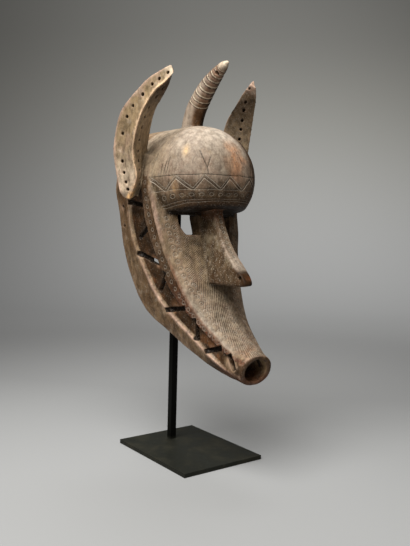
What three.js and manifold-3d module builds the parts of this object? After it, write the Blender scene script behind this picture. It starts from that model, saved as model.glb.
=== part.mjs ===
import * as THREE from 'three';
import Module from 'manifold-3d';

// Carved hyena mask on a steel stand. Millimetres, +Z up, the face looks along -Y.
// The origin is on the floor under the middle of the base plate.

// Stand
const PLATE_WIDTH = 140;
const PLATE_DEPTH = 177;
const PLATE_THICKNESS = 6;
const PLATE_SHIFT = -3;
const POST_SIZE = 10;
const POST_Y = 51.5;
const CRADLE_BAR = 8;
const FIT_GAP = 0.4;
const UPPER_BAR_TOP = 467;
const UPPER_BAR_LENGTH = 69;
const LOWER_BAR_Z = 322;
const LOWER_BAR_LENGTH = 129;

// The long face bends round one line parallel to X. Its sections are planes through that line.
const PIVOT_Y = -200;
const PIVOT_Z = 386;

// Sections down the face. angle is degrees below level. crown, ridge, band, jaw and rim are
// distances from the pivot line: middle of the face, its side edge, the back of the carved band,
// the inner edge of the jaw bar, the open back. front, side and back are half widths.
const SECTIONS = [
  { angle: -15, crown: 206, ridge: 226, band: 232, jaw: 262, rim: 303, front: 71, side: 73, back: 66 },
  { angle: -5, crown: 188, ridge: 210, band: 225, jaw: 262, rim: 303, front: 81, side: 84, back: 82 },
  { angle: 5, crown: 178, ridge: 202, band: 222, jaw: 261, rim: 292, front: 78.5, side: 82.5, back: 81 },
  { angle: 15, crown: 174, ridge: 196, band: 217, jaw: 256, rim: 292, front: 75, side: 80, back: 78 },
  { angle: 25, crown: 176, ridge: 198, band: 216, jaw: 251, rim: 294.5, front: 68, side: 73, back: 71 },
  { angle: 35, crown: 182, ridge: 201, band: 221, jaw: 250, rim: 293.5, front: 60, side: 64.5, back: 62 },
  { angle: 45, crown: 193, ridge: 207, band: 221, jaw: 245, rim: 276.5, front: 51.5, side: 55.5, back: 51.5 },
  { angle: 54, crown: 201.5, ridge: 213, band: 221, jaw: 242, rim: 268, front: 42.5, side: 46.5, back: 42 },
  { angle: 63, crown: 208, ridge: 217, band: 225, jaw: 245.5, rim: 265, front: 34, side: 37.5, back: 30.5 },
  { angle: 70.5, crown: 214, ridge: 221, band: 228, jaw: 248, rim: 263.5, front: 29, side: 32, back: 22 },
  { angle: 77.3, crown: 217.5, ridge: 223, band: 229, jaw: 248, rim: 261, front: 21, side: 27.5, back: 15 },
];
const SECTION_STEP = 4.6;
const ARCH_STEPS = 12;
const TOOTH_RECESS = 5;

// Hollow behind the face
const SIDE_WALL = 10;
const FACE_WALL = 12;
const CAVITY_END = 67;
const CAVITY_CROWN = 10;

// Zigzag slits in the jaw sides: distance and angle of both ends, and depth
const SLIT_WIDTH = 6;
const THROUGH = 16;
const BLIND = 5.5;
const SLITS = [
  [262, 1.6, 228, 3.1, BLIND],
  [219, 11, 247, 14.3, BLIND],
  [256, 18.8, 220, 26, BLIND],
  [238, 22.4, 220, 26, THROUGH],
  [214, 30, 245, 34, THROUGH],
  [251, 40.6, 218, 46, BLIND],
  [218, 51, 242, 56, THROUGH],
  [246, 60.7, 224, 66.3, BLIND],
  [226, 69.8, 241, 74, BLIND],
];

// Snout bore
const SNOUT_ANGLE = 77.3;
const SNOUT_CENTRE = 239.5;
const BORE_HALF_WIDTH = 18;
const BORE_HALF_HEIGHT = 14.5;
const BORE_DEPTH = 58;

// Domed forehead, drawn out straight to the open back, and the vault inside it. power is 2 for
// an elliptical level section and more for a squarer one.
const HOOD_BACK = 99;
const DOME = { centre: [0, -6, 414], radii: [76, 78, 79], reach: HOOD_BACK + 6, power: 2.55 };
const DOME_FLOOR = 363;
const DOME_FLOOR_FRONT = -10;
const DOME_FLOOR_RISE = 0.15;
const VAULT = { centre: [0, 28, 412], radii: [64, 46, 67], reach: HOOD_BACK + 32, power: 2 };
const VAULT_FLOOR = 354;

// Eye openings under the dome
const EYE_INNER = 14;
const EYE_OUTER = 47;
const EYE_BOTTOM = 333;
const EYE_TOP = 361;

// Nose: level, front distance, half width at the front, half width at the face
const NOSE_LEVELS = [
  { z: 372, front: -56, narrow: 7, wide: 10 },
  { z: 356, front: -60, narrow: 7.5, wide: 11 },
  { z: 338, front: -68, narrow: 8, wide: 12.5 },
  { z: 320, front: -79, narrow: 8.5, wide: 13.5 },
  { z: 302, front: -95, narrow: 9, wide: 15 },
  { z: 286, front: -112, narrow: 9, wide: 17.5 },
  { z: 274, front: -124, narrow: 8, wide: 20 },
  { z: 266, front: -126, narrow: 7, wide: 20 },
  { z: 263, front: -120, narrow: 5, wide: 18 },
];
const NOSE_BACK = -20;
const NOSE_HOLE = { y: -116, z: 276, radius: 2.6 };

// Horn: centre line and radius from the dome to the tip
const HORN = [
  { y: 17, z: 478, radius: 16.5 },
  { y: 15, z: 498, radius: 16 },
  { y: 8, z: 516, radius: 15.4 },
  { y: -7, z: 535, radius: 14.8 },
  { y: -27, z: 553, radius: 12.6 },
  { y: -46, z: 566, radius: 9.4 },
  { y: -58, z: 573, radius: 6.8 },
  { y: -64, z: 575.5, radius: 3.4 },
];
const HORN_RINGS = 8;
const HORN_RING_START = 0.42;
const HORN_RING_END = 0.78;
const HORN_RING_DEPTH = 0.9;
const HORN_HOLE = { y: -50, z: 563, radius: 2.4 };

// Ears: front edge, outer edge and inner edge of the section, from the tip to the lower end
const EAR = [
  { front: [75, -42, 553.5], outer: [75.5, -36, 566.5], inner: [69, -34.5, 559] },
  { front: [84, -33, 541], outer: [89, -18, 556], inner: [66, -22, 548] },
  { front: [92, -22, 531], outer: [99, -4, 544], inner: [65, -9, 534] },
  { front: [100, -8, 509], outer: [110, 20, 521], inner: [66, 14, 513] },
  { front: [104, 1, 488], outer: [117, 34, 498], inner: [66, 26, 490] },
  { front: [106, 9, 460], outer: [119, 44, 458], inner: [66, 34, 460] },
  { front: [103, 12, 437], outer: [117, 43, 432], inner: [68, 36, 437] },
  { front: [99, 10, 417], outer: [113, 41, 408], inner: [70, 36, 415] },
  { front: [99, 16, 399], outer: [111, 36, 391], inner: [74, 34, 402] },
  { front: [99, 30, 381], outer: [102, 37, 381], inner: [80, 39, 389] },
];
const EAR_BACK_BULGE = 5;
const EAR_HOLLOW = 2.5;
const EAR_HOLE_RADIUS = 2.1;
const EAR_OUTER_HOLES = { count: 12, start: 0.053, end: 0.885, inset: 12.5 };
const EAR_INNER_HOLES = { count: 11, start: 0.193, end: 0.868, inset: 17.5, depth: 7 };

// Binding holes in the jaw bar: distance and angle
const RIM_HOLES = [
  [276, 3],
  [277, 9],
];
const RIM_HOLE_RADIUS = 2.8;

const wasm = await Module();
wasm.setup();

const radians = THREE.MathUtils.degToRad;
const lerp = THREE.MathUtils.lerp;

// Smooth value through the rows of a table at position t, counted in rows
function throughRows(rows, t, pick) {
  const last = rows.length - 1;
  const i = THREE.MathUtils.clamp(Math.floor(t), 0, last - 1);
  const u = t - i;
  const p0 = pick(rows[Math.max(i - 1, 0)]);
  const p1 = pick(rows[i]);
  const p2 = pick(rows[i + 1]);
  const p3 = pick(rows[Math.min(i + 2, last)]);
  const m1 = (p2 - p0) / 2;
  const m2 = (p3 - p1) / 2;
  const u2 = u * u;
  const u3 = u2 * u;
  return (2 * u3 - 3 * u2 + 1) * p1 + (u3 - 2 * u2 + u) * m1 + (3 * u2 - 2 * u3) * p2 + (u3 - u2) * m2;
}

// Row position of an angle in SECTIONS
function rowOf(angle) {
  let i = 0;
  while (i < SECTIONS.length - 2 && SECTIONS[i + 1].angle < angle) {
    i += 1;
  }
  const span = SECTIONS[i + 1].angle - SECTIONS[i].angle;
  return i + THREE.MathUtils.clamp((angle - SECTIONS[i].angle) / span, 0, 1);
}

function sectionAt(angle) {
  const t = rowOf(angle);
  const section = { angle };
  for (const key of ['crown', 'ridge', 'band', 'jaw', 'rim', 'front', 'side', 'back']) {
    section[key] = throughRows(SECTIONS, t, (row) => row[key]);
  }
  return section;
}

// Point of the bent frame: x across, distance from the pivot line, degrees below level
function bent(x, distance, angle) {
  const a = radians(angle);
  return [x, PIVOT_Y + distance * Math.cos(a), PIVOT_Z - distance * Math.sin(a)];
}

// Closed solid through a row of rings that all have the same number of points
function loft(rings) {
  const count = rings[0].length;
  const points = rings.flat();
  const faces = [];
  for (let k = 0; k + 1 < rings.length; k += 1) {
    for (let j = 0; j < count; j += 1) {
      const a = k * count + j;
      const b = k * count + (j + 1) % count;
      faces.push([a, b, b + count], [a, b + count, a + count]);
    }
  }
  for (const k of [0, rings.length - 1]) {
    const centre = [0, 1, 2].map((axis) => rings[k].reduce((sum, p) => sum + p[axis], 0) / count);
    const hub = points.push(centre) - 1;
    for (let j = 0; j < count; j += 1) {
      const a = k * count + j;
      const b = k * count + (j + 1) % count;
      faces.push(k === 0 ? [hub, b, a] : [hub, a, b]);
    }
  }
  return solid(points, faces);
}

// Manifold solid from points and faces, turned so that its faces look outward
function solid(points, faces) {
  let volume = 0;
  for (const [a, b, c] of faces) {
    const [p, q, r] = [a, b, c].map((i) => new THREE.Vector3(...points[i]));
    volume += p.dot(q.cross(r));
  }
  const turned = volume < 0 ? faces.map(([a, b, c]) => [a, c, b]) : faces;
  const mesh = new wasm.Mesh({
    numProp: 3,
    vertProperties: new Float32Array(points.flat()),
    triVerts: new Uint32Array(turned.flat()),
  });
  return new wasm.Manifold(mesh);
}

function box(x0, x1, y0, y1, z0, z1) {
  const ring = (z) => [[x0, y0, z], [x1, y0, z], [x1, y1, z], [x0, y1, z]];
  return loft([ring(z0), ring(z1)]);
}

// Straight round or oval bar from one point to another
function rod(start, end, radius, sides = 10, tall = radius) {
  const from = new THREE.Vector3(...start);
  const to = new THREE.Vector3(...end);
  const axis = to.clone().sub(from).normalize();
  const across = new THREE.Vector3(0, 0, 1);
  if (Math.abs(axis.z) > 0.9) {
    across.set(0, 1, 0);
  }
  const u = new THREE.Vector3().crossVectors(axis, across).normalize();
  const v = new THREE.Vector3().crossVectors(axis, u).normalize();
  const ring = (centre) => Array.from({ length: sides }, (_, i) => {
    const a = 2 * Math.PI * i / sides;
    const p = centre.clone();
    p.addScaledVector(u, radius * Math.cos(a));
    p.addScaledVector(v, tall * Math.sin(a));
    return p.toArray();
  });
  return loft([ring(from), ring(to)]);
}

// Side of the face block as half width and distance: shoulder, teeth, jaw bar, back edge
function sideKnots(s) {
  const fade = THREE.MathUtils.smoothstep(s.angle, -4, 2) * (1 - THREE.MathUtils.smoothstep(s.angle, 73, 76));
  const recess = TOOTH_RECESS * fade;
  const shoulder = lerp(s.front, s.side, 0.4 + 0.35 * THREE.MathUtils.smoothstep(s.angle, 70, SNOUT_ANGLE));
  return [
    [shoulder, s.band],
    [shoulder - recess, s.band + 2],
    [s.side - recess, s.jaw - 3],
    [s.side, s.jaw],
    [lerp(s.side, s.back, 0.4), (s.jaw + s.rim) / 2],
    [s.back, s.rim - 2],
    [s.back - 3, s.rim],
  ];
}

// Half width of the face block at a distance and angle
function sideAt(distance, angle) {
  const knots = sideKnots(sectionAt(angle));
  let i = 0;
  while (i < knots.length - 2 && knots[i + 1][1] < distance) {
    i += 1;
  }
  const [x0, r0] = knots[i];
  const [x1, r1] = knots[i + 1];
  return lerp(x0, x1, THREE.MathUtils.clamp((distance - r0) / (r1 - r0), 0, 1));
}

// Outline of the face block in one section plane: arched front, stepped sides, flat back
function faceRing(angle) {
  const s = sectionAt(angle);
  const upper = 1 - THREE.MathUtils.smoothstep(angle, 2, 22);
  const roundness = Math.max(upper, THREE.MathUtils.smoothstep(angle, 68, SNOUT_ANGLE));
  const half = [];
  for (let i = 0; i <= ARCH_STEPS / 2; i += 1) {
    const u = Math.sin(Math.PI * i / ARCH_STEPS);
    const rise = (1 - u ** 2) ** lerp(0.8, 0.5, roundness);
    half.push([s.front * u, lerp(s.ridge, s.crown, rise)]);
  }
  half.push(...sideKnots(s));
  const mirrored = half.slice(1).reverse().map(([x, r]) => [-x, r]);
  return [...mirrored, ...half].map(([x, r]) => bent(x, r, angle));
}

// Hollow behind the face, running out past the open back
function cavityRing(angle) {
  const s = sectionAt(angle);
  const closing = THREE.MathUtils.smoothstep(angle, 50, CAVITY_END);
  const width = s.front - lerp(SIDE_WALL, SIDE_WALL + 4, closing);
  const half = [];
  for (let i = 0; i <= 5; i += 1) {
    const u = Math.sin(Math.PI * i / 10);
    half.push([width * u, s.ridge + FACE_WALL - CAVITY_CROWN * (1 - u * u) * (1 - 0.6 * closing)]);
  }
  half.push([width, s.jaw]);
  half.push([s.back - SIDE_WALL, s.rim]);
  half.push([s.back - SIDE_WALL, s.rim + 50]);
  const mirrored = half.slice(1).reverse().map(([x, r]) => [-x, r]);
  return [...mirrored, ...half].map(([x, r]) => bent(x, r, angle));
}

function bentLoft(ring, from, to) {
  const steps = Math.ceil((to - from) / SECTION_STEP);
  return loft(Array.from({ length: steps + 1 }, (_, k) => ring(lerp(from, to, k / steps))));
}

// Eye opening with its lower outer corner cut away
function eye(side) {
  const corners = [
    [EYE_INNER, EYE_BOTTOM],
    [EYE_OUTER - 10, EYE_BOTTOM],
    [EYE_OUTER - 3.5, EYE_BOTTOM + 8],
    [EYE_OUTER, EYE_BOTTOM + 17],
    [EYE_OUTER, EYE_TOP],
    [EYE_INNER, EYE_TOP],
  ];
  return loft([-60, 30].map((y) => corners.map(([x, z]) => [side * x, y, z])));
}

// Level ring of a rounded body. Its rear half is drawn out straight to the back by its reach.
function levelRing(shape, spread, z, around) {
  const { centre, radii, reach, power } = shape;
  return Array.from({ length: around }, (_, i) => {
    const a = 2 * Math.PI * (i + 0.5) / around;
    const [c, s] = [Math.cos(a), Math.sin(a)].map((v) => Math.sign(v) * Math.abs(v) ** (2 / power));
    const y = radii[1] * spread * s;
    return [centre[0] + radii[0] * spread * c, centre[1] + y + (y > 0 ? reach : 0), z];
  });
}

function rounded(shape, bottom, levels, around) {
  const low = Math.asin((bottom - shape.centre[2]) / shape.radii[2]);
  const rings = [];
  for (let k = 0; k <= levels; k += 1) {
    const tilt = lerp(low, Math.PI / 2 * 0.985, k / levels);
    rings.push(levelRing(shape, Math.cos(tilt), shape.centre[2] + shape.radii[2] * Math.sin(tilt), around));
  }
  return loft(rings);
}

// Domed forehead. Its underside is level at the face and rises towards the front.
function dome() {
  const body = rounded(DOME, DOME_FLOOR, 13, 44);
  const front = -130;
  const rise = DOME_FLOOR_RISE * (DOME_FLOOR_FRONT - front);
  const below = loft([-110, 110].map((x) => [
    [x, DOME_FLOOR_FRONT, DOME_FLOOR - 20],
    [x, DOME_FLOOR_FRONT, DOME_FLOOR],
    [x, front, DOME_FLOOR + rise],
    [x, front, DOME_FLOOR - 20],
  ]));
  return body.subtract(below);
}

function nose() {
  return loft(NOSE_LEVELS.map((level) => {
    const half = [
      [0, level.front],
      [level.narrow - 1.5, level.front],
      [level.narrow, level.front + 1.5],
      [lerp(level.narrow, level.wide, 0.55), lerp(level.front, NOSE_BACK, 0.5)],
      [level.wide, NOSE_BACK],
    ];
    const mirrored = half.slice(1).reverse().map(([x, y]) => [-x, y]);
    return [...mirrored, ...half].map(([x, y]) => [x, y, level.z]);
  }));
}

// Positions along the horn, with three for every groove
function hornStops() {
  const stops = [0, 0.08, 0.16, 0.24, 0.32, 0.38].map((t) => ({ t, cut: 0 }));
  const pitch = (HORN_RING_END - HORN_RING_START) / HORN_RINGS;
  for (let i = 0; i < HORN_RINGS; i += 1) {
    const t = HORN_RING_START + (i + 0.5) * pitch;
    stops.push({ t: t - 0.3 * pitch, cut: 0 }, { t, cut: HORN_RING_DEPTH }, { t: t + 0.3 * pitch, cut: 0 });
  }
  return [...stops, ...[0.82, 0.88, 0.93, 0.97, 1].map((t) => ({ t, cut: 0 }))];
}

// Horn swept along its centre line
function horn() {
  const sides = 16;
  return loft(hornStops().map(({ t, cut }) => {
    const row = t * (HORN.length - 1);
    const y = throughRows(HORN, row, (p) => p.y);
    const z = throughRows(HORN, row, (p) => p.z);
    const dy = throughRows(HORN, row + 0.02, (p) => p.y) - throughRows(HORN, row - 0.02, (p) => p.y);
    const dz = throughRows(HORN, row + 0.02, (p) => p.z) - throughRows(HORN, row - 0.02, (p) => p.z);
    const length = Math.hypot(dy, dz);
    const radius = throughRows(HORN, row, (p) => p.radius) - cut;
    return Array.from({ length: sides }, (_, i) => {
      const a = 2 * Math.PI * i / sides;
      const out = radius * Math.sin(a);
      return [radius * Math.cos(a), y - dz / length * out, z + dy / length * out];
    });
  }));
}

// Edges of the ear's section, and the way into it straight through the outer facet
function earRow(t) {
  const row = t * (EAR.length - 1);
  const edge = (name) => new THREE.Vector3(...[0, 1, 2].map((axis) => throughRows(EAR, row, (p) => p[name][axis])));
  const front = edge('front');
  const outer = edge('outer');
  const inner = edge('inner');
  const facet = outer.clone().sub(front);
  const across = inner.clone().sub(front);
  const inward = across.clone().addScaledVector(facet, -across.dot(facet) / facet.lengthSq()).normalize();
  return { front, outer, inner, inward, width: facet.length() };
}

// Right ear: a bent blade with a wedge section, slightly hollow on its outer facet
function ear() {
  const rings = [];
  const steps = 18;
  for (let k = 0; k <= steps; k += 1) {
    const { front, outer, inner, inward, width } = earRow(k / steps);
    const hollow = front.clone().lerp(outer, 0.5).addScaledVector(inward, EAR_HOLLOW * width / 32);
    const bulge = EAR_BACK_BULGE * width / 32;
    const back = outer.clone().lerp(inner, 0.5).add(new THREE.Vector3(0, bulge, 0));
    const edge = outer.clone().lerp(back, 0.12).add(new THREE.Vector3(0, bulge * 0.35, 0));
    const tipInner = inner.clone().lerp(back, 0.25).add(new THREE.Vector3(0, bulge * 0.3, 0));
    rings.push([front, hollow, outer, edge, back, tipInner, inner].map((p) => p.toArray()));
  }
  return loft(rings);
}

function mirrorX(rows) {
  return rows.map(([x, y, z]) => [-x, y, z]);
}

// Rows of the ear at the holes of one line
function holeRows({ count, start, end }) {
  return Array.from({ length: count }, (_, i) => earRow(lerp(start, end, i / (count - 1))));
}

// Round holes in the ear: a through row along the outer edge and a blind row on the inner facet
function earHoles() {
  const drills = [];
  for (const { front, outer, inward, width } of holeRows(EAR_OUTER_HOLES)) {
    const seat = outer.clone().lerp(front, Math.min(0.5, EAR_OUTER_HOLES.inset / width));
    const start = seat.clone().addScaledVector(inward, -8);
    const end = seat.clone().addScaledVector(inward, Math.min(30, width + 6));
    drills.push([start.toArray(), end.toArray()]);
  }
  const backward = new THREE.Vector3(0.55, 0.82, 0);
  for (const { front, inner } of holeRows(EAR_INNER_HOLES)) {
    const reach = inner.distanceTo(front);
    const seat = front.clone().lerp(inner, Math.min(0.6, EAR_INNER_HOLES.inset / reach));
    const start = seat.clone().addScaledVector(backward, -8);
    const end = seat.clone().addScaledVector(backward, EAR_INNER_HOLES.depth);
    drills.push([start.toArray(), end.toArray()]);
  }
  return drills;
}

function buildMask() {
  let body = bentLoft(faceRing, SECTIONS[0].angle, SNOUT_ANGLE);
  const backCut = box(-200, 200, HOOD_BACK, 400, 330, 620);
  body = body.add(dome()).subtract(backCut);

  const vault = rounded(VAULT, VAULT_FLOOR, 11, 36);
  const cavity = bentLoft(cavityRing, SECTIONS[0].angle + 3, CAVITY_END);
  body = body.add(nose());
  body = body.add(horn());
  const rightEar = ear();
  body = body.add(rightEar).add(rightEar.mirror([1, 0, 0]));
  body = body.subtract(vault).subtract(cavity);

  const centre = bent(0, SNOUT_CENTRE, SNOUT_ANGLE);
  const a = radians(SNOUT_ANGLE);
  const out = [0, -Math.sin(a), -Math.cos(a)];
  const step = (d) => centre.map((c, i) => c + out[i] * d);
  body = body.subtract(rod(step(15), step(-BORE_DEPTH), BORE_HALF_WIDTH, 24, BORE_HALF_HEIGHT));

  for (const [r0, a0, r1, a1, depth] of SLITS) {
    const p = bent(0, r0, a0);
    const q = bent(0, r1, a1);
    const along = new THREE.Vector2(q[1] - p[1], q[2] - p[2]).normalize();
    const offset = [-along.y * SLIT_WIDTH / 2, along.x * SLIT_WIDTH / 2];
    const ring = (xp, xq) => [
      [xp, p[1] + offset[0], p[2] + offset[1]],
      [xq, q[1] + offset[0], q[2] + offset[1]],
      [xq, q[1] - offset[0], q[2] - offset[1]],
      [xp, p[1] - offset[0], p[2] - offset[1]],
    ];
    const slit = loft([ring(sideAt(r0, a0) - depth, sideAt(r1, a1) - depth), ring(130, 130)]);
    body = body.subtract(slit).subtract(slit.mirror([1, 0, 0]));
  }

  for (const side of [-1, 1]) {
    body = body.subtract(eye(side));
    for (const [start, end] of earHoles()) {
      const [s, e] = side < 0 ? mirrorX([start, end]) : [start, end];
      body = body.subtract(rod(s, e, EAR_HOLE_RADIUS, 6));
    }
  }
  for (const [r, angle] of RIM_HOLES) {
    const p = bent(0, r, angle);
    body = body.subtract(rod([-130, p[1], p[2]], [130, p[1], p[2]], RIM_HOLE_RADIUS, 8));
  }
  body = body.subtract(rod([-60, NOSE_HOLE.y, NOSE_HOLE.z], [60, NOSE_HOLE.y, NOSE_HOLE.z], NOSE_HOLE.radius, 8));
  body = body.subtract(rod([-60, HORN_HOLE.y, HORN_HOLE.z], [60, HORN_HOLE.y, HORN_HOLE.z], HORN_HOLE.radius, 8));
  return body;
}

// Bars behind the post: one under the vault, one between the side walls, joined by a rail
function buildCradle() {
  const half = POST_SIZE / 2 - 1;
  const back = POST_Y + POST_SIZE / 2 + FIT_GAP;
  const y1 = back + CRADLE_BAR;
  const upper = UPPER_BAR_LENGTH / 2;
  const lower = LOWER_BAR_LENGTH / 2;
  const rail = box(-half, half, back, y1, LOWER_BAR_Z, UPPER_BAR_TOP);
  const top = box(-upper, upper, back, y1, UPPER_BAR_TOP - CRADLE_BAR, UPPER_BAR_TOP);
  const bottom = box(-lower, lower, back, y1, LOWER_BAR_Z - CRADLE_BAR / 2, LOWER_BAR_Z + CRADLE_BAR / 2);
  return rail.add(top).add(bottom);
}

function toMesh(name, body, colour, roughness, metalness) {
  const data = body.getMesh();
  const geometry = new THREE.BufferGeometry();
  geometry.setAttribute('position', new THREE.BufferAttribute(new Float32Array(data.vertProperties), 3));
  geometry.setIndex(new THREE.BufferAttribute(new Uint32Array(data.triVerts), 1));
  geometry.computeVertexNormals();
  const material = new THREE.MeshStandardMaterial({ color: colour, roughness, metalness });
  const mesh = new THREE.Mesh(geometry, material);
  mesh.name = name;
  return mesh;
}

const halfPlate = PLATE_WIDTH / 2;
const halfDepth = PLATE_DEPTH / 2;
const halfPost = POST_SIZE / 2;
const postTop = UPPER_BAR_TOP;
const plate = box(PLATE_SHIFT - halfPlate, PLATE_SHIFT + halfPlate, -halfDepth, halfDepth, 0, PLATE_THICKNESS);
const post = box(-halfPost, halfPost, POST_Y - halfPost, POST_Y + halfPost, PLATE_THICKNESS + FIT_GAP, postTop);

const group = new THREE.Group();
group.name = 'suruku_mask_on_stand';
group.add(toMesh('mask', buildMask(), 0x8a7460, 0.75, 0));
group.add(toMesh('base_plate', plate, 0x1b1c1d, 0.6, 0.6));
group.add(toMesh('post', post, 0x1b1c1d, 0.6, 0.6));
group.add(toMesh('cradle', buildCradle(), 0x1b1c1d, 0.6, 0.6));

export default group;
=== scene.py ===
import math
from concurrent.futures import ThreadPoolExecutor
from functools import reduce
from itertools import product
from types import SimpleNamespace

import bpy
import numpy as np
from mathutils import Matrix, Vector


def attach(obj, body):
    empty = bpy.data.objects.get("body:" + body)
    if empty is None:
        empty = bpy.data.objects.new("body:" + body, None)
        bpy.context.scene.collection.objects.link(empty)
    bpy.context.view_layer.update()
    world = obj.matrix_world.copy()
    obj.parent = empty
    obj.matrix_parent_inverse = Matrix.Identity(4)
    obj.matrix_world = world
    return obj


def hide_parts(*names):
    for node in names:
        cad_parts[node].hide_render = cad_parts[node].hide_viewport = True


# Carved hyena mask on a steel stand. The carving is worked out in millimetres, +Z up, with the
# face looking along -Y, and scaled to metres once, when its mesh is made.
MM = 0.001
GRID_STEP = 1.1
TRIANGLES = 190000
# Unevenness of hand-cut wood: mean depth, then depth, size and seed of two kinds of lumps
HAND_DEPTH = 0.35
HAND_CUTS = ((0.30, 17, 1), (0.14, 6, 2))

# The long face bends round one line parallel to X. Its sections are planes through that line.
PIVOT_Y = -200.0
PIVOT_Z = 386.0

# Sections down the face: degrees below level, then distances from the pivot line (middle of the
# face, its side edge, back of the carved band, inner edge of the jaw bar, open back), then half
# widths at the front, the side and the back.
SECTION_KEYS = ("crown", "ridge", "band", "jaw", "rim", "front", "side", "back")
SECTIONS = np.array([
    [-15, 206, 226, 232, 262, 303, 71, 73, 66],
    [-5, 188, 210, 225, 262, 303, 81, 84, 82],
    [5, 178, 202, 222, 261, 292, 78.5, 82.5, 81],
    [15, 174, 196, 217, 256, 292, 75, 80, 78],
    [25, 176, 198, 216, 251, 294.5, 68, 73, 71],
    [35, 182, 201, 221, 250, 293.5, 60, 64.5, 62],
    [45, 193, 207, 221, 245, 276.5, 51.5, 55.5, 51.5],
    [54, 201.5, 213, 221, 242, 268, 42.5, 46.5, 42],
    [63, 208, 217, 225, 245.5, 265, 34, 37.5, 30.5],
    [70.5, 214, 221, 228, 248, 263.5, 29, 32, 22],
    [77.3, 217.5, 223, 229, 248, 261, 21, 27.5, 15],
])
TOOTH_RECESS = 5.0
SIDE_WALL = 10.0
FACE_WALL = 12.0
CAVITY_START = -12.0
CAVITY_END = 67.0
CAVITY_CROWN = 10.0

# Zigzag slits in the jaw sides by depth: distance and angle of both ends
SLIT_WIDTH = 7.0
# Loss of half width for each millimetre inwards
SLIT_TAPER = 0.2
SLITS = {
    16.0: [
        (238, 22.4, 220, 26),
        (214, 30, 245, 34),
        (218, 51, 242, 56),
    ],
    5.5: [
        (262, 1.6, 228, 3.1),
        (219, 11, 247, 14.3),
        (256, 18.8, 220, 26),
        (251, 40.6, 218, 46),
        (246, 60.7, 224, 66.3),
        (226, 69.8, 241, 74),
    ],
}

# Snout, its end and its bore
SNOUT_ANGLE = 77.3
SNOUT_CENTRE = 239.5
# Half width, half height and depth
BORE = (19.5, 16.0, 58.0)
# 2 for a round snout, more for a squarer one
TUBE_POWER = 2.2

# Domed forehead, drawn out straight to the open back, and the vault inside it: centre, radii and
# the power of the level sections, 2 for an ellipse and more for a squarer form
DOME = ((0.0, -6.0, 414.0), (76.0, 78.0, 79.0), 2.55)
DOME_FLOOR = 363.0
DOME_FLOOR_FRONT = -10.0
DOME_FLOOR_RISE = 0.15
# Rounding where the dome meets the face, below and above these levels
DOME_JOINT, JOINT_LEVELS = (2, 7), (388, 415)
HOOD_BACK, HOOD_LOW = 99.0, 330.0
VAULT = ((0.0, 28.0, 412.0), (64.0, 46.0, 67.0), 2.0)
VAULT_FLOOR = 354.0

# Eye openings under the dome: middle and half width, middle and half height, front and back
EYE_MIDDLE, EYE_HALF = 30.5, 16.5
EYE_LEVEL, EYE_RISE = 347.0, 14.0
EYE_FRONT, EYE_BACK = -62.0, 30.0

# Nose: level, front, half width at the front, half width at the face
NOSE = np.array([
    [263, -120, 5, 18],
    [266, -126, 7, 20],
    [274, -124, 8, 20],
    [286, -112, 9, 17.5],
    [302, -95, 9, 15],
    [320, -79, 8.5, 13.5],
    [338, -68, 8, 12.5],
    [356, -60, 7.5, 11],
    [372, -56, 7, 10],
])
NOSE_BACK = -20.0
NOSE_LEVELS = (258, 372)
NOSE_REACH = 22

# Horn: y, z and radius along its centre line
HORN = np.array([
    [17, 478, 16.5],
    [15, 498, 16],
    [8, 516, 15.4],
    [-7, 535, 14.8],
    [-27, 553, 12.6],
    [-46, 566, 9.4],
    [-58, 573, 6.8],
    [-64, 575.5, 3.4],
])

# Ears: front edge, outer edge and inner edge of the section, from the tip to the lower end
EAR = np.array([
    [75, -42, 553.5, 75.5, -36, 566.5, 69, -34.5, 559],
    [84, -33, 541, 89, -18, 556, 66, -22, 548],
    [92, -22, 531, 99, -4, 544, 65, -9, 534],
    [100, -8, 509, 110, 20, 521, 66, 14, 513],
    [104, 1, 488, 117, 34, 498, 66, 26, 490],
    [106, 9, 460, 119, 44, 458, 66, 34, 460],
    [103, 12, 437, 117, 43, 432, 68, 36, 437],
    [99, 10, 417, 113, 41, 408, 70, 36, 415],
    [99, 16, 399, 111, 36, 391, 74, 34, 402],
    [99, 30, 381, 102, 37, 381, 80, 39, 389],
], dtype=float)
EAR_OUTER_HOLES = np.linspace(0.053, 0.885, 12)
EAR_INNER_HOLES = np.linspace(0.193, 0.868, 11)
EAR_HOLE_RADIUS = 2.1
EAR_BOX = ((58, 124), (-52, 62), (379, 576))
FILLED_HOLE = 7

# Round holes right across: y, z, radius
NOSE_HOLE = (-116.0, 276.0, 2.6)
HORN_HOLE = (-50.0, 563.0, 2.4)
RIM_HOLES = [(276, 3), (277, 9)]
RIM_HOLE_RADIUS = 2.8

# Corners of the grid round the mask
LOW = (-123.2, -158.0, 128.0)
HIGH = (123.2, 103.4, 582.0)

# Rows of rings: part, what runs along the row, what runs across it and its value on the row, then
# first and last centre, spacing and radius
RING_ROWS = [
    ("panel", "bend", "edge", 0.0, 9.3, 73.3, 3.2, 2.7),
    ("panel", "bend", "edge", -7.6, 13.5, 23.7, 3.4, 2.7),
    ("panel", "bend", "edge", -7.6, 33.0, 49.8, 3.36, 2.7),
    ("panel", "bend", "x", 4.0, 51.5, 74.6, 3.3, 2.6),
    ("panel", "bend", "x", -5.0, 59.5, 73.9, 3.6, 2.6),
    ("panel", "bend", "x", 12.0, 61.5, 72.3, 3.6, 2.6),
    ("band", "bend", "band_line", 0.0, -8.6, 59.6, 3.1, 2.6),
    ("dome", "turn", "level", 386.5, -96.1, 95.9, 10.4, 3.3),
    ("nose", "level", "x", 0.0, 284.0, 352.4, 7.6, 2.0),
]
# Millimetres per degree at each point
SCALES = {"bend": "bend_mm", "turn": "turn_mm"}

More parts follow.
